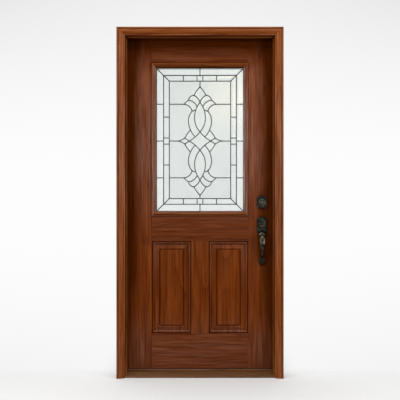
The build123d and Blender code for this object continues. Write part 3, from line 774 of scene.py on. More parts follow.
    def trim(self, coat: Value, glaze_and_shade: Value, rail: Any, x: Value, z: Value) -> tuple[Value, Value]:
        """Change coat, and add painted shade and dark stain, along the lite frame's lip and the
        panel mouldings.

        Args:
            coat: Weight of the clear coat.
            glaze_and_shade: Strength of the painted shade and dark stain.
            rail: 1 where the grain runs along X.
            x: Place across the door.
            z: Height.

        Returns:
            The changed coat, and the painted shade with the stain and dark lines added.
        """
        at = self.layout
        if self.run is GrainRun.RING:
            upper = rail * (z > at.lite_middle)
            # Painted shade along the lite frame's inner lip next to the glass, wider on the upper
            # bar that faces down.
            lip = (self.lip(x, z) - upper * self.glaze_and_shade.top_lip).ramp(*self.glaze_and_shade.lip_line)
            kept = 1 - rail * self.coat.level_bar - upper * self.coat.top_bar
            return coat * kept, glaze_and_shade.most((1 - lip) * self.glaze_and_shade.lip_shade)
        if self.run is GrainRun.SLAB:
            inward = self.panel_depth(x, z)
            field = inward.ramp(0.95 * at.moulding, at.moulding)
            moulding = inward.ramp(0.0, 0.001) * (1 - field)
            lines = self.joints(x, z) * self.glaze_and_shade.joint_dark
            glaze_and_shade = glaze_and_shade.most(lines).most(self.grooves(inward, z))
            return coat * (1 - moulding * self.coat.moulding), glaze_and_shade
        return coat, glaze_and_shade


@dataclass(frozen=True)
class RubbedBronze(Finish):
    """Oil-rubbed bronze: dark, uneven patina with lighter worn patches, lighter edges that are wear
    and a painted highlight, and painted shade in hollows.
    """

    name: str
    dark: Colour
    worn: Colour
    rough: float = 0.3
    patches: float = 34.0
    specks: float = 900.0
    # Lighter edges are wear and a painted highlight; hollows get painted shade.
    edge_reach: float = 0.0024
    hollow_shade_reach: float = 0.018
    edge_wear_and_highlight: float = 0.45
    patch_wear: float = 0.2
    hollow_shade_strength: float = 0.95
    relief: float = 0.0002

    def paint(self, graph: Graph) -> dict[str, Any]:
        """Patina colour with painted highlight on edges and painted shade in hollows, gloss and
        fine cast grain.

        Args:
            graph: The material's nodes.

        Returns:
            The shader's inputs.
        """
        point = graph.vector(*graph.place())
        cloud = graph.noise(point, self.patches, 3.0, 0.6)
        speck = graph.noise(point, self.specks)
        rim = graph.openness(self.edge_reach, inside=True)
        # Lighter edges: wear, and a painted highlight along them.
        edge = (1 - rim.ramp(0.55, 0.92)) * self.edge_wear_and_highlight
        patch = cloud.ramp(0.4, 0.7) * self.patch_wear
        # Painted shade in hollows, such as under the thumb piece.
        hollow_shade = (1 - graph.openness(self.hollow_shade_reach).ramp(0.3, 0.7)) * self.hollow_shade_strength
        rubbed = graph.blend(patch.most(edge), self.dark, self.worn)
        return {
            "Base Color": graph.blend(hollow_shade, rubbed, darker(self.dark, 0.2)),
            "Metallic": 1.0,
            "Roughness": (cloud - 0.5) * 0.22 + (speck - 0.5) * 0.1 + self.rough,
            "Normal": graph.bump(speck, 0.12, self.relief),
        }


@dataclass(frozen=True)
class ClearPane(Finish):
    """Clear float glass."""

    name: str
    tint: Colour
    bend: float = 1.2
    waves: float = 3.0

    def paint(self, graph: Graph) -> dict[str, Any]:
        """Clear glass with the faintest waviness.

        Args:
            graph: The material's nodes.

        Returns:
            The shader's inputs.
        """
        wave = graph.noise(graph.vector(*graph.place()), self.waves, 1.0)
        return {
            "Base Color": (*self.tint, 1.0),
            "Roughness": 0.0,
            "IOR": self.bend,
            "Transmission Weight": 1.0,
            "Normal": graph.bump(wave, 0.02, 0.001),
        }


@dataclass(frozen=True)
class CutGlass(Finish):
    """Leaded sheet: bevelled clear cells and granular background cells."""

    name: str
    clear: Colour
    granular: Colour
    mottle: Colour = (0.7, 0.73, 0.72)
    mark: str = "clear_cell"
    bend: float = 1.25
    seeds: float = 170.0
    clouds: float = 22.0
    relief: float = 0.0012

    def paint(self, graph: Graph) -> dict[str, Any]:
        """Tint, clearness and seedy grain by the sheet's own attribute.

        Args:
            graph: The material's nodes.

        Returns:
            The shader's inputs.
        """
        mark = graph.node("ShaderNodeAttribute", {"attribute_name": self.mark})
        clear = Value(graph, mark.outputs["Fac"])
        point = graph.vector(*graph.place())
        seed = graph.noise(point, self.seeds, 2.0, 0.6)
        cloud = graph.noise(point, self.clouds)
        tint = graph.blend(clear, self.granular, self.clear)
        patch = cloud.ramp(0.35, 0.75) * (1 - clear * 0.5) * 0.22
        return {
            "Base Color": graph.blend(patch, tint, self.mottle),
            "Roughness": (1 - clear) * 0.2 + 0.04,
            "IOR": self.bend,
            "Transmission Weight": 0.85,
            "Normal": graph.bump((seed - 0.5) * (1 - clear), 0.7, self.relief),
        }


@dataclass(frozen=True)
class PlainFinish(Finish):
    """Even material with slight mottle: rubber, foam, lead, extruded metal."""

    name: str
    colour: Colour
    other: Colour
    rough: float
    metal: float = 0.0
    scale: float = 60.0
    stretch: float = 1.0
    relief: float = 0.1

    def paint(self, graph: Graph) -> dict[str, Any]:
        """Mottled colour and gloss, drawn out along X where it is an extrusion.

        Args:
            graph: The material's nodes.

        Returns:
            The shader's inputs.
        """
        x, y, z = graph.place()
        point = graph.vector(x * self.stretch, y, z)
        cloud = graph.noise(point, self.scale, 3.0, 0.6)
        grain = graph.noise(point, self.scale * 14)
        return {
            "Base Color": graph.blend(cloud.ramp(0.3, 0.7), self.colour, self.other),
            "Metallic": self.metal,
            "Roughness": (cloud - 0.5) * 0.2 + (grain - 0.5) * 0.08 + self.rough,
            "Normal": graph.bump(grain, self.relief, 0.0003),
        }


# Surfaces


class Patchwork:
    """Grid patches gathered into one mesh."""

    def __init__(self) -> None:
        """Start empty."""
        self.points: list[Array] = []
        self.faces: list[Array] = []
        self.marks: list[Array] = []
        self.total = 0

    def add(self, grid: Array, around: bool = False, mark: Optional[Array] = None) -> None:
        """Add the patch of points (n, m, 3), joining each four neighbours.

        Args:
            grid: Points of the patch over its two parameters.
            around: Whether the second parameter closes on itself.
            mark: A number for each point, kept as the mesh's attribute.
        """
        rows, columns = grid.shape[:2]
        index = np.arange(rows * columns).reshape(rows, columns) + self.total
        if around:
            index = np.concatenate((index, index[:, :1]), axis=1)
        quads = np.stack((index[:-1, :-1], index[:-1, 1:], index[1:, 1:], index[1:, :-1]), axis=-1)
        self.points.append(grid.reshape(-1, 3))
        self.faces.append(quads.reshape(-1, 4))
        self.marks.append(np.zeros(rows * columns) if mark is None else mark.ravel())
        self.total += rows * columns

    def build(self, name: str, attribute: Optional[str] = None) -> bpy.types.Object:
        """Make the mesh object, with doubles merged and faces turned outwards.

        Args:
            name: The piece's name.
            attribute: Name of the attribute that keeps the points' marks.

        Returns:
            The object, at the origin.
        """
        points = np.concatenate(self.points).astype(np.float32)
        faces = np.concatenate(self.faces).astype(np.int32)
        mesh = bpy.data.meshes.new(name)
        mesh.vertices.add(len(points))
        mesh.vertices.foreach_set("co", points.ravel())
        mesh.loops.add(faces.size)
        mesh.loops.foreach_set("vertex_index", faces.ravel())
        mesh.polygons.add(len(faces))
        mesh.polygons.foreach_set("loop_start", np.arange(0, faces.size, 4, dtype=np.int32))
        mesh.update(calc_edges=True)
        if attribute:
            layer = mesh.attributes.new(attribute, "FLOAT", "POINT")
            layer.data.foreach_set("value", np.concatenate(self.marks).astype(np.float32))
        work = bmesh.new()
        work.from_mesh(mesh)
        bmesh.ops.remove_doubles(work, verts=work.verts, dist=TOUCH)
        bmesh.ops.recalc_face_normals(work, faces=work.faces)
        work.to_mesh(mesh)
        work.free()
        mesh.shade_smooth()
        mesh.set_sharp_from_angle(angle=SHARP_ANGLE)
        piece = bpy.data.objects.new(name, mesh)
        bpy.context.scene.collection.objects.link(piece)
        return piece


def arc_points(start: Array, middle: Array, end: Array, count: int = 13) -> Array:
    """Points of the circle through three points.

    The centre lies where the perpendicular bisectors meet, and the angle runs evenly from the
    first point over the second to the third.

    Args:
        start: First point.
        middle: A point between.
        end: Last point.
        count: How many points.

    Returns:
        Points (count, 2).
    """
    side = np.array((middle - start, end - start))
    reach = (side * side).sum(axis=1) / 2
    centre = start + np.linalg.solve(side, reach)
    angle = [math.atan2(*(point - centre)[::-1]) for point in (start, middle, end)]
    turn = [(part - angle[0] + math.pi) % (2 * math.pi) - math.pi for part in angle]
    sweep = turn[2] if turn[1] * turn[2] > 0 else turn[2] - math.copysign(2 * math.pi, turn[2])
    place = angle[0] + np.linspace(0, sweep, count)
    round_unit = np.stack((np.cos(place), np.sin(place)), axis=1)
    return centre + np.linalg.norm(start - centre) * round_unit


def screw_heads(centres: Array, axis: Array, radius: float, rise: float) -> Array:
    """Domed screw heads with a cross recess.

    Over (r, a): a point r out from the axis at angle a stands rise * (1 - r^2) high, less the
    recess where either arm of the cross, a quarter of the radius wide and 0.6 long, covers it.

    Args:
        centres: Places of the heads (k, 3).
        axis: Direction that they face.
        radius: Head radius.
        rise: Height of the dome.

    Returns:
        Points (k, rings, steps, 3).
    """
    arm_half, arm_reach, arm_depth = 0.13, 0.61, 0.8 * rise
    askew, steps = (0.31, 0.17, 0.93), 40
    axis = axis / np.linalg.norm(axis)
    side = np.cross(axis, askew)
    side /= np.linalg.norm(side)
    upright = np.cross(axis, side)
    ring = np.array((1.0, 0.985, 0.8, 0.62, 0.6, 0.45, 0.3, 0.15, 0.13, 0.0))[:, None]
    angle = turns(steps)[None, :]
    flat_x = ring * np.cos(angle)
    flat_y = ring * np.sin(angle)
    arm = (np.minimum(abs(flat_x), abs(flat_y)) < arm_half) & (ring < arm_reach)
    height = rise * (1 - ring**2) * np.ones_like(angle) - np.where(arm, arm_depth, 0.0)
    height = np.where(ring >= 1.0, -rise, height)
    flat = flat_x[..., None] * side + flat_y[..., None] * upright
    return centres[:, None, None, :] + (radius * flat + height[..., None] * axis)[None]


# Sub-assemblies


def dress(finish: Finish, *nodes: str) -> None:
    """Give CAD nodes a finish.

    Args:
        finish: The finish.
        nodes: Names of the nodes.
    """
    for node in nodes:
        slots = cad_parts[node].data.materials
        slots.clear()
        slots.append(finish.material())
        log.info("finish %s on %s", finish.name, node)


def settle(piece: bpy.types.Object, finish: Finish, body: str) -> bpy.types.Object:
    """Finish a new piece and fix it to the part.

    Args:
        piece: The piece.
        finish: Its finish.
        body: The body that it rides on.

    Returns:
        The piece.
    """
    piece.data.materials.append(finish.material())
    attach(piece, body)
    log.info("piece %s on %s", piece.name, body)
    return piece


class Knots(NamedTuple):
    """Ends of the came curves in the motif's upper right quarter, as shares of the inner border."""

    apex: Range = (0, 0.923)
    shoulder: Range = (0.196, 0.779)
    cross: Range = (0, 0.657)
    crest: Range = (0.356, 0.694)
    wing: Range = (0.512, 0.627)
    hip: Range = (0.258, 0.507)
    belly: Range = (0.173, 0.428)
    flank: Range = (0.378, 0.346)
    thigh: Range = (0.316, 0.186)
    waist: Range = (0, 0.156)
    shin: Range = (0.408, 0.128)
    seat: Range = (0.157, 0.07)
    knee: Range = (0.492, 0.05)
    elbow: Range = (0.352, 0)
    tip: Range = (0.71, 0)


@dataclass
class LeadedSheet:
    """The leaded glass between the panes: cut glass and rounded cames."""

    sight_half: Range
    middle: Range
    depth: float
    knots: Knots = Knots()
    inset: float = 0.0415
    band: float = 0.0355
    drop: float = 0.0075
    top_splits: Range = (0.095, 0.541)
    side_splits: Range = (0.052, 0.408)
    came_width: float = 0.0055
    came_half: float = 0.003
    came_crown: float = 0.0009
    came_steps: int = 7
    bead_spread: float = 1.7
    bead_rise: float = 0.0016
    bead_rings: int = 5
    bead_steps: int = 14
    step: float = 0.003
    bevel_width: float = 0.011
    bevel_rise: float = 0.0014
    plain_rise: float = 0.3
    glass_half: float = 0.001
    clearness: tuple[float, float, float] = (1.0, 0.5, 0.2)

    @classmethod
    def read(cls) -> "LeadedSheet":
        """Take the sheet's place from the lite frame and the cames.

        Returns:
            The sheet.
        """
        low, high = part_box("exterior_lite_frame")
        came_low, came_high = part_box("came_lattice")
        return cls(
            sight_half=((high.x - low.x) / 2 - LITE_FACE, (high.z - low.z) / 2 - LITE_FACE),
            middle=((high.x + low.x) / 2, (high.z + low.z) / 2),
            depth=(came_low.y + came_high.y) / 2,
        )

    def inner(self) -> Array:
        """Half width and half height of the inner border."""
        return np.array(self.sight_half) - self.inset - self.band

    def outer(self) -> Array:
        """Half width and half height of the outer border."""
        return np.array(self.sight_half) - self.inset

    def arcs(self) -> list[tuple[Range, ...]]:
        """Came curves in the motif's upper right quarter.

        Returns:
            Start, a point between and end of each, or the two ends of a straight one, as shares
            of the inner border.
        """
        at = self.knots
        return [
            (at.apex, (0.114, 0.851), at.shoulder),
            (at.shoulder, (0.085, 0.735), at.cross),
            (at.shoulder, (0.323, 0.752), (0.37, 0.694)),
            (at.wing, (0.453, 0.666), at.crest),
            (at.crest, (0.222, 0.667), (0.096, 0.587)),
            (at.wing, (0.336, 0.583), at.hip),
            (at.hip, (0.202, 0.519), (0.132, 0.523)),
            (at.cross, (0.115, 0.557), at.belly),
            (at.belly, (0.142, 0.283), at.waist),
            (at.hip, (0.344, 0.432), at.flank),
            (at.flank, (0.322, 0.203), at.seat),
            (at.waist, at.seat, at.elbow),
            (at.elbow, (0.492, -0.05)),
            (at.thigh, at.shin, at.knee),
            (at.knee, (0.59, 0.021), at.tip),
            (at.tip, (1, 0)),
            (at.wing, (1, at.wing[1])),
        ]

    def joints(self) -> Array:
        """Solder joints of the whole sheet.

        Returns:
            Their places (k, 2).
        """
        at = self.knots
        shares = np.array(
            (at.apex, at.shoulder, at.cross, at.wing, at.hip, at.waist, at.knee, at.elbow, at.tip)
        )
        motif = (shares * self.inner())[None] * QUARTERS[:, None] - (0, self.drop)
        corners = np.concatenate((QUARTERS * self.inner(), QUARTERS * self.outer()))
        return np.concatenate((np.unique(np.round(motif.reshape(-1, 2), 6), axis=0), corners))

    def paths(self) -> list[Array]:
        """Every came's middle line on the sheet.

        Returns:
            Points (n, 2) of each.
        """
        inner, outer, sight = self.inner(), self.outer(), np.array(self.sight_half)
        lowered = (0, self.drop)
        found: list[Array] = []
        for shares in self.arcs():
            points = np.array(shares, float) * inner
            line = arc_points(*points) if len(points) == 3 else points
            found += list(line[None] * QUARTERS[:, None] - lowered)
        for share in (0.0, self.knots.wing[1]):
            height = share * inner[1]
            line = np.array(((outer[0], height), (sight[0], height)))
            found += list(line[None] * QUARTERS[:, None] - lowered)
        for up in (-1, 1):
            stem = ((0, up * self.knots.apex[1] * inner[1] - self.drop), (0, up * inner[1]))
            found += [np.array(stem), np.array(((0, up * outer[1]), (0, up * sight[1])))]
        for half in (inner, outer):
            corner = np.array(((1, 1), (-1, 1), (-1, -1), (1, -1), (1, 1))) * half
            found += [corner[n : n + 2] for n in range(4)]
        for sign in QUARTERS:
            found.append(np.stack((sign * inner, sign * sight)))
            for x in np.array(self.top_splits) * inner[0]:
                found.append(sign * np.array(((x, inner[1]), (x, outer[1]))))
            for z in np.array(self.side_splits) * inner[1]:
                found.append(sign * np.array(((inner[0], z), (outer[0], z))) - lowered)
        return found

    def came_distance(self, flat: Array) -> Array:
        """Distance from the nearest came, over every straight piece of the cames.

        Args:
            flat: Points (n, 2).

        Returns:
            Distances (n,) from the came's edge, 0 under it.
        """
        best = np.full(len(flat), np.inf)
        for path in self.paths():
            for start, end in zip(path[:-1], path[1:]):
                run = end - start
                share = np.clip(((flat - start) @ run) / (run @ run), 0, 1)
                away = flat - start - share[:, None] * run
                best = np.minimum(best, (away * away).sum(axis=1))
        return np.maximum(np.sqrt(best) - self.came_width / 2, 0)

    def in_motif(self, flat: Array) -> Array:
        """Which points lie inside the motif's outline, by counting the edges to their right.

        Args:
            flat: Points (n, 2).

        Returns:
            Marks (n,).
        """
        at, arcs, inner = self.knots, self.arcs(), self.inner()
        order = (arcs[0], arcs[2], arcs[3][::-1], arcs[5], arcs[9])
        quarter = [arc_points(*(np.array(arc, float) * inner)) for arc in order]
        tail = np.array(((0.345, 0.24), at.thigh, at.shin, at.knee, at.tip)) * inner
        right = np.concatenate((*quarter, tail))
        half = np.concatenate((right, right[::-1] * (1, -1)))
        loop = np.concatenate((half, half[::-1] * (-1, 1))) - (0, self.drop)
        inside = np.zeros(len(flat), bool)
        for (x0, z0), (x1, z1) in zip(loop, np.roll(loop, -1, axis=0)):
            if abs(z1 - z0) < TOUCH:
                continue
            spans = (flat[:, 1] > min(z0, z1)) & (flat[:, 1] <= max(z0, z1))
            inside ^= spans & (flat[:, 0] < x0 + (flat[:, 1] - z0) * (x1 - x0) / (z1 - z0))
        return inside

    def place(self, flat: Array, out: Array) -> Array:
        """Stand points of the sheet out of its middle plane.

        Args:
            flat: Points (..., 2).
            out: How far each stands out.

        Returns:
            Points (..., 3).
        """
        x = flat[..., 0] + self.middle[0]
        z = flat[..., 1] + self.middle[1]
        return np.stack((x, self.depth - out, z), axis=-1)

    @staticmethod
    def edge_of(grid: Array) -> Array:
        """What lies round the edge of a grid (n, m, ...), in order."""
        return np.concatenate((grid[:, 0], grid[-1, 1:], grid[-2::-1, -1], grid[0, -2:0:-1]))

    def build_glass(self, finish: CutGlass) -> bpy.types.Object:
        """Cut glass as one sheet.

        Over the sheet's (x, z): the front stands glass_half plus, in clear cells, bevel_rise
        times the distance from the nearest came over bevel_width, at most 1. The back is flat.

        Args:
            finish: The glass.

        Returns:
            The sheet, which stands for the CAD glass.
        """
        half = np.array(self.sight_half)
        count = np.ceil(2 * half / self.step).astype(int)
        x = np.linspace(-half[0], half[0], count[0])
        z = np.linspace(-half[1], half[1], count[1])
        flat = np.stack(np.meshgrid(x, z, indexing="ij"), axis=-1)
        shape = flat.shape[:2]
        points = flat.reshape(-1, 2)
        border = (abs(points) > self.inner()).any(axis=1)
        rim_row = (abs(points) > self.outer()).any(axis=1)
        motif = self.in_motif(points)
        clear = (border | motif).astype(float)
        shown = np.select([rim_row, border, motif], list(self.clearness), 0.0)
        ramp = np.clip(self.came_distance(points) / self.bevel_width, 0, 1)
        rise = clear * self.bevel_rise * ramp + (1 - clear) * self.plain_rise * self.bevel_rise
        out = (self.glass_half + rise).reshape(shape)
        edge, flat_back = self.edge_of(flat), np.array(-self.glass_half)
        rim_back = self.place(edge, np.full(len(edge), -self.glass_half))
        rim = np.stack((self.place(edge, self.edge_of(out)), rim_back))
        centre = np.broadcast_to(self.place(np.zeros(2), flat_back), rim_back.shape)
        work = Patchwork()
        work.add(self.place(flat, out), mark=shown.reshape(shape))
        for patch in (rim, np.stack((rim_back, centre))):
            work.add(patch, around=True, mark=np.ones(patch.shape[:2]))
        piece = work.build("cut_glass_sheet", finish.mark)
        settle(piece, finish, "door")
        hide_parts("cut_glass")
        return piece

    def build_cames(self, finish: Finish) -> bpy.types.Object:
        """Rounded faces of the cames and beads of solder on their joints.

        Along each came (u, a): its middle line at u, moved half its width times cos a to the side
        and raised by came_crown times sin a over the CAD bar, on both sides of the sheet. A bead
        is the same half round turned about its joint.

        Args:
            finish: The lead.

        Returns:
            The piece.
        """
        work = Patchwork()
        angle = np.linspace(0, np.pi, self.came_steps)
        half = self.came_width / 2
        for path in self.paths():
            run = np.gradient(path, axis=0)
            run /= np.linalg.norm(run, axis=1, keepdims=True)
            side = np.stack((run[:, 1], -run[:, 0]), axis=1)
            flat = path[:, None] + half * np.cos(angle)[None, :, None] * side[:, None]
            crown = self.came_crown * np.sin(angle)[None, :] * np.ones((len(path), 1))
            for face in (1, -1):
                work.add(self.place(flat, face * (self.came_half + crown)))
        turn = turns(self.bead_steps)
        lift = np.linspace(0, np.pi / 2, self.bead_rings)
        spread = np.stack((np.cos(turn), np.sin(turn)), axis=1)
        reach = self.bead_spread * half * np.cos(lift)[:, None, None] * spread[None]
        rise = self.came_half + self.bead_rise * np.sin(lift)[:, None] * np.ones((1, len(turn)))
        for joint in self.joints():
            for face in (1, -1):
                work.add(self.place(joint + reach, face * rise), around=True)
        return settle(work.build("came_rounds"), finish, "door")


@dataclass
class Fasteners:
    """Screws of the hinges, edge plates, strikes and roses."""

    radius: float = 0.0042
    rise: float = 0.0007
    leaf_depths: tuple[float, ...] = (0.0095, 0.026, 0.026, 0.0095)
    leaf_heights: tuple[float, ...] = (-0.031, -0.015, 0.015, 0.031)
    plate: float = 0.057
    faceplate_gap: float = 0.0205
    strike_gap: float = 0.0215
    rose_steps: Range = (-0.021, 0.021)

    def heads(self, name: str, spots: Sequence[Spots], finish: Finish, body: str) -> None:
        """Screws of one body in one piece.

        Args:
            name: The piece's name.
            spots: Pairs of head places (k, 3) and the direction that they face.
            finish: The metal.
            body: The body that they ride on.
        """
        work = Patchwork()
        for centres, axis in spots:
            for head in screw_heads(centres, axis, self.radius, self.rise):
                work.add(head, around=True)
        settle(work.build(name), finish, body)

    def leaf_spots(self, side: str, carrier: str, out: float) -> list[Spots]:
        """Four screws on the open face of each hinge's leaf.

        Args:
            side: Which leaf, door or jamb.
            carrier: The node whose low X is the leaf's face.
            out: 1 or -1, the way along X that the face looks.

        Returns:
            Head places and direction of each leaf.
        """
        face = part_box(carrier)[0].x
        spots = []
        for name in HINGES:
            low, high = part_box(f"hinge_{name}_{side}_leaf")
            depth = np.array(self.leaf_depths) + low.y
            height = np.array(self.leaf_heights) + (low.z + high.z) / 2
            centres = np.stack((np.full_like(depth, face), depth, height), axis=1)
            spots.append((centres, np.array((out, 0.0, 0.0))))
        return spots

    def edge_spots(self, node: str, out: float, gap: float) -> Spots:
        """Two screws on each of a node's two plates, above and below its bolt.

        Args:
            node: The plates.
            out: 1 or -1, the way along X that they face.
            gap: How far from the bolt's middle a screw sits.

        Returns:
            Head places and direction.
        """
        low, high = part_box(node)
        bolt_low, bolt_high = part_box("lock_bolts")
        middle = np.repeat((low.z + self.plate / 2, high.z - self.plate / 2), 2)
        height = middle + np.tile((-gap, gap), 2)
        face = np.full_like(height, high.x if out > 0 else low.x)
        depth = np.full_like(height, (bolt_low.y + bolt_high.y) / 2)
        return np.stack((face, depth, height), axis=1), np.array((out, 0.0, 0.0))

    def rose_spots(self) -> Spots:
        """Two screws on each inside rose.

        Returns:
            Head places and direction.
        """
        places = []
        for node in ("knob_rose", "thumbturn_rose"):
            low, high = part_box(node)
            middle = (low + high) / 2
            places += [(middle.x + step, high.y, middle.z) for step in self.rose_steps]
        return np.array(places), np.array((0.0, 1.0, 0.0))

    def build(self, finish: Finish) -> None:
        """All the screws.

        Args:
            finish: The metal.
        """
        door_leaves = self.leaf_spots("door", "hinge_stile", -1.0)
        self.heads("leaf_screws_door", door_leaves, finish, "door")
        jamb_leaves = self.leaf_spots("jamb", "head_jamb", 1.0)
        self.heads("leaf_screws_jamb", jamb_leaves, finish, "frame")
        lock = [self.edge_spots("lock_faceplates", 1.0, self.faceplate_gap), self.rose_spots()]
        self.heads("lock_screws", lock, finish, "door")
        strikes = [self.edge_spots("strike_plates", -1.0, self.strike_gap)]
        self.heads("strike_screws", strikes, finish, "frame")


@dataclass
class Slab:
    """The slab's skins, edges and lite frames."""

    layout: SlabLayout

    def dress(self) -> None:
        """Stained grain on what shows, timber and foam inside."""
        at = self.layout
        skin = StainedGrain("stained_skin_grain", GrainRun.SLAB, at, Stain.SLAB)
        dress(skin, "exterior_skin", "interior_skin")
        looks = {"seed": 4.4, "rough": 0.3, "gloss": 0.95}
        ring = StainedGrain("lite_frame_grain", GrainRun.RING, at, Stain.LITE_FRAME, **looks)
        dress(ring, "exterior_lite_frame", "interior_lite_frame")
        edge = Stain.SLAB_EDGE
        upright = StainedGrain("edge_grain_upright", GrainRun.UPRIGHT, at, edge, seed=8.2)
        level = StainedGrain("edge_grain_level", GrainRun.LEVEL, at, edge, seed=6.1)
        dress(upright, "hinge_stile", "lock_stile")
        dress(level, "top_rail", "bottom_rail")
        tones = (screen(236, 224, 178), screen(226, 212, 160))
        dress(PlainFinish("core_foam", *tones, 0.9, relief=0.3), "foam_core")
        tones = ((0.02, 0.018, 0.016), (0.03, 0.026, 0.022))
        dress(PlainFinish("sweep_rubber", *tones, 0.6), "door_sweep")


@dataclass
class Surround:
    """Jambs, brick mould, seals and sill."""

    layout: SlabLayout

    def dress(self) -> None:
        """Stained timber, foam seals and bronze tread."""
        at, stain = self.layout, Stain.FRAME
        looks = {"rings": 14.0, "rough": 0.26}
        name = "frame_grain_upright"
        upright = StainedGrain(name, GrainRun.UPRIGHT, at, stain, seed=1.3, **looks)
        level = StainedGrain("frame_grain_level", GrainRun.LEVEL, at, stain, seed=2.6, **looks)
        dress(upright, "hinge_jamb", "strike_jamb")
        dress(upright, "brick_mould_hinge_side", "brick_mould_strike_side")
        dress(level, "head_jamb", "brick_mould_head")
        seal = PlainFinish("seal_skin", screen(46, 28, 18), screen(58, 36, 24), 0.55)
        dress(seal, "seal_hinge_side", "seal_strike_side", "seal_head")
        tones = (screen(88, 55, 24), screen(76, 46, 19))
        looks = {"metal": 0.75, "scale": 40.0, "stretch": 0.06}
        dress(PlainFinish("bronze_tread_metal", *tones, 0.42, **looks), "sill_tread")
        core = StainedGrain("sill_core_grain", GrainRun.LEVEL, at, Stain.SILL_CORE, seed=3.7)
        dress(core, "sill_core")
        cap = StainedGrain("threshold_grain", GrainRun.LEVEL, at, Stain.THRESHOLD, seed=5.5)
        dress(cap, "threshold_cap")


@dataclass
class Hardware:
    """Handle set, locks and hinges."""

    bronze: Finish
    rim_rings: Range = (0.0185, 0.0156)
    rim_tubes: Range = (0.0014, 0.0009)
    rim_steps: int = 48
    tube_steps: int = 13

    def dress(self) -> None:
        """Bronze, lighter where hands rub it, and brass on the key plug."""
        dress(
            self.bronze,
            "handle_escutcheon", "deadbolt_rose",
            "knob_rose", "inside_knob", "thumbturn_rose", "thumbturn",
            "strike_plates", "lock_faceplates", "lock_bolts", "hinge_pins",
        )
        for name in HINGES:
            dress(self.bronze, f"hinge_{name}_jamb_leaf", f"hinge_{name}_door_leaf")
        handled = RubbedBronze("handled_bronze", screen(47, 43, 38), screen(150, 138, 118), 0.31)
        dress(handled, "thumb_piece", "grip_handle")
        plug = RubbedBronze("plug_brass", screen(96, 88, 70), screen(140, 126, 96))
        dress(plug, "deadbolt_plug")

    def build_beads(self) -> None:
        """Rounded rims of the deadbolt's guard and of its dish.

        Over (a, b): a ring of tube radius r about the plug's axis, where a point at angle a round
        the axis lies R + r cos b from it and r sin b in front of the guard's face.
        """
        low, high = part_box("deadbolt_plug")
        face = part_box("deadbolt_rose")[0].y
        middle = (low + high) / 2
        turn = turns(self.rim_steps)[None, :]
        across = np.linspace(0, 2 * np.pi, self.tube_steps)[:, None]
        work = Patchwork()
        for ring, tube in zip(self.rim_rings, self.rim_tubes):
            out = ring + tube * np.cos(across)
            x = middle.x + out * np.cos(turn)
            z = middle.z + out * np.sin(turn)
            y = face - tube * np.sin(across) * np.ones_like(turn)
            work.add(np.stack((x, y, z), axis=-1), around=True)
        settle(work.build("guard_beads"), self.bronze, "door")


@dataclass
class Lite:
    """Panes, spacers and the leaded sheet."""

    sheet: LeadedSheet

    def build(self) -> None:
        """Dress the panes and build the leaded sheet."""
        dress(ClearPane("clear_pane", (0.97, 0.985, 0.98)), "outer_pane", "inner_pane")
        tones = ((0.5, 0.5, 0.49), (0.42, 0.42, 0.42))
        dress(PlainFinish("spacer_bar", *tones, 0.4, metal=1.0), "glass_spacers")
        tones = ((0.022, 0.023, 0.021), (0.045, 0.046, 0.043))
        lead = PlainFinish("came_lead", *tones, 0.42, metal=0.4)
        dress(lead, "came_lattice")
        self.sheet.build_cames(lead)
        glass = CutGlass("leaded_cut_glass", (0.985, 0.995, 0.985), (0.82, 0.84, 0.83))
        self.sheet.build_glass(glass)


@dataclass(frozen=True)
class SoftBox:
    """A lamp: where it stands, what it faces, its width and height, and its watts."""

    name: str
    place: Point
    aim: Point
    size: Range
    power: float

    def build(self) -> None:
        """Set up the lamp, out of the camera's sight."""
        light = bpy.data.lights.new(self.name, "AREA")
        light.shape = "RECTANGLE"
        light.size, light.size_y = self.size
        light.energy = self.power
        lamp = bpy.data.objects.new(self.name, light)
        bpy.context.scene.collection.objects.link(lamp)
        lamp.location = self.place
        run = Vector(self.aim) - Vector(self.place)
        lamp.rotation_euler = run.to_track_quat("-Z", "Y").to_euler()
        lamp.visible_camera = False
        lamp.visible_transmission = False


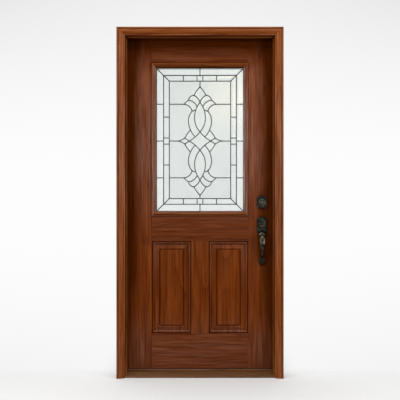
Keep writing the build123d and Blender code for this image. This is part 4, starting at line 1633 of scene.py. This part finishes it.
@dataclass
class Studio:
    """Floor, lights, surroundings and camera."""

    camera_place: Point = (0.0, -4.18, 1.0785)
    focal: float = 688.0
    frame_width: float = 400.0
    sensor: float = 36.0
    floor_rings: tuple[float, ...] = (0.0, 0.5, 1.0, 2.0, 3.2)
    floor_steps: int = 64
    floor_lighting: Colour = (0.3, 0.29, 0.28)
    floor_seen: Colour = (0.69, 0.69, 0.685)
    glow_colour: Colour = (1.0, 0.92, 0.8)
    lamps: tuple[SoftBox, ...] = (
        SoftBox("left_box", (-3.0, -2.4, 1.5), (0.0, 0.07, 1.2), (1.6, 2.0), 71.0),
        SoftBox("right_box", (3.0, -2.4, 1.5), (0.0, 0.07, 1.2), (1.6, 2.0), 69.0),
        SoftBox("over_box", (0.0, -1.9, 4.2), (0.0, 0.07, 0.9), (2.6, 2.2), 116.0),
    )

    def floor(self) -> None:
        """Pale round floor that fades out far away, and behind the door at its sides.

        Over (r, a): the point at distance r from the door's middle and at angle a, on z = 0.
        """
        ring = np.array(self.floor_rings)[:, None]
        angle = turns(self.floor_steps)[None, :]
        flat = (ring * np.cos(angle), ring * np.sin(angle), np.zeros((len(ring), angle.size)))
        work = Patchwork()
        work.add(np.stack(flat, axis=-1), around=True)
        piece = work.build("floor")
        made = bpy.data.materials.new("pale_floor")
        made.use_nodes = True
        graph = Graph(made.node_tree)
        x, y, _ = graph.place()
        far = ((x * x + y * y) ** 0.5).ramp(0.8, 2.3)
        behind = y.ramp(-0.12, 0.25) * abs(x).ramp(0.3, 0.65)
        seen = graph.seen(Ray.CAMERA, Ray.GLOSSY, Ray.TRANSMISSION)
        tone = graph.blend(seen, self.floor_lighting, self.floor_seen)
        paper = graph.node("ShaderNodeBsdfDiffuse", None, {"Color": tone}).outputs[0]
        clear = graph.node("ShaderNodeBsdfTransparent").outputs[0]
        both = graph.node("ShaderNodeMixShader", None, {0: far.most(behind), 1: paper, 2: clear})
        graph.node("ShaderNodeOutputMaterial", None, {"Surface": both.outputs[0]})
        piece.data.materials.append(made)
        log.info("stage %s", piece.name)

    def surroundings(self) -> None:
        """White backdrop with a faint warm spot behind the glass, and a dim room for reflections.

        The numbers are parts of a ray's unit direction: x right, y away from the camera, z up.
        """
        world = bpy.data.worlds.new("studio")
        bpy.context.scene.world = world
        world.use_nodes = True
        graph = Graph(world.node_tree)
        x, y, z = graph.place("Generated")
        mirrored = graph.seen(Ray.GLOSSY)
        fall = z * z * (x * x * 11.0 + 1.5) * ((z > 0.0) * 0.3 + 0.7)
        white = (0.985 - fall).most(0.8)
        horizon = z.bell(0.1, 0.075) * (1 - y.ramp(-0.85, -0.5)) * 3.2
        walls = y.ramp(-0.25, 0.6) * 0.75 + z.ramp(0.2, 0.9) * 0.3 + 0.04
        sides = abs(x).ramp(0.6, 0.9) * (1 - y.ramp(-0.2, 0.1)) * z.bell(0.1, 0.35) * 1.2
        window = z.bell(0.5, 0.14) * (1 - y.ramp(-0.7, -0.4)) * 1.6
        room = walls * (1 - x * 0.5) + horizon + (sides + window) * mirrored
        glow = x.bell(0.042, 0.028) * z.bell(0.145, 0.035) * graph.seen(Ray.TRANSMISSION)
        level = room + (white - room) * graph.seen(Ray.CAMERA, Ray.TRANSMISSION) + glow * 0.42
        warm = graph.blend(glow, (1.0, 1.0, 1.0), self.glow_colour)
        shade = graph.node("ShaderNodeBackground", None, {"Color": warm, "Strength": level})
        graph.node("ShaderNodeOutputWorld", None, {"Surface": shade.outputs[0]})

    def camera(self) -> None:
        """Level camera straight in front of the door."""
        lens = bpy.data.cameras.new("camera")
        lens.sensor_width = self.sensor
        lens.lens = self.focal / self.frame_width * self.sensor
        eye = bpy.data.objects.new("camera", lens)
        bpy.context.scene.collection.objects.link(eye)
        eye.location = self.camera_place
        eye.rotation_euler = (math.pi / 2, 0.0, 0.0)
        bpy.context.scene.camera = eye

    def build(self) -> None:
        """Everything round the door."""
        bpy.context.scene.view_settings.view_transform = "Standard"
        self.floor()
        self.surroundings()
        self.camera()
        for lamp in self.lamps:
            lamp.build()


def main() -> None:
    """Build the classes in order."""
    logging.basicConfig(level=logging.INFO, format="%(message)s")
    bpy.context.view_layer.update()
    layout = SlabLayout.read()
    bronze = RubbedBronze("rubbed_bronze", screen(37, 37, 34), screen(132, 124, 108), 0.27)
    Studio().build()
    Slab(layout).dress()
    Surround(layout).dress()
    hardware = Hardware(bronze)
    hardware.dress()
    hardware.build_beads()
    Lite(LeadedSheet.read()).build()
    Fasteners().build(bronze)


if __name__ == "__main__":
    main()
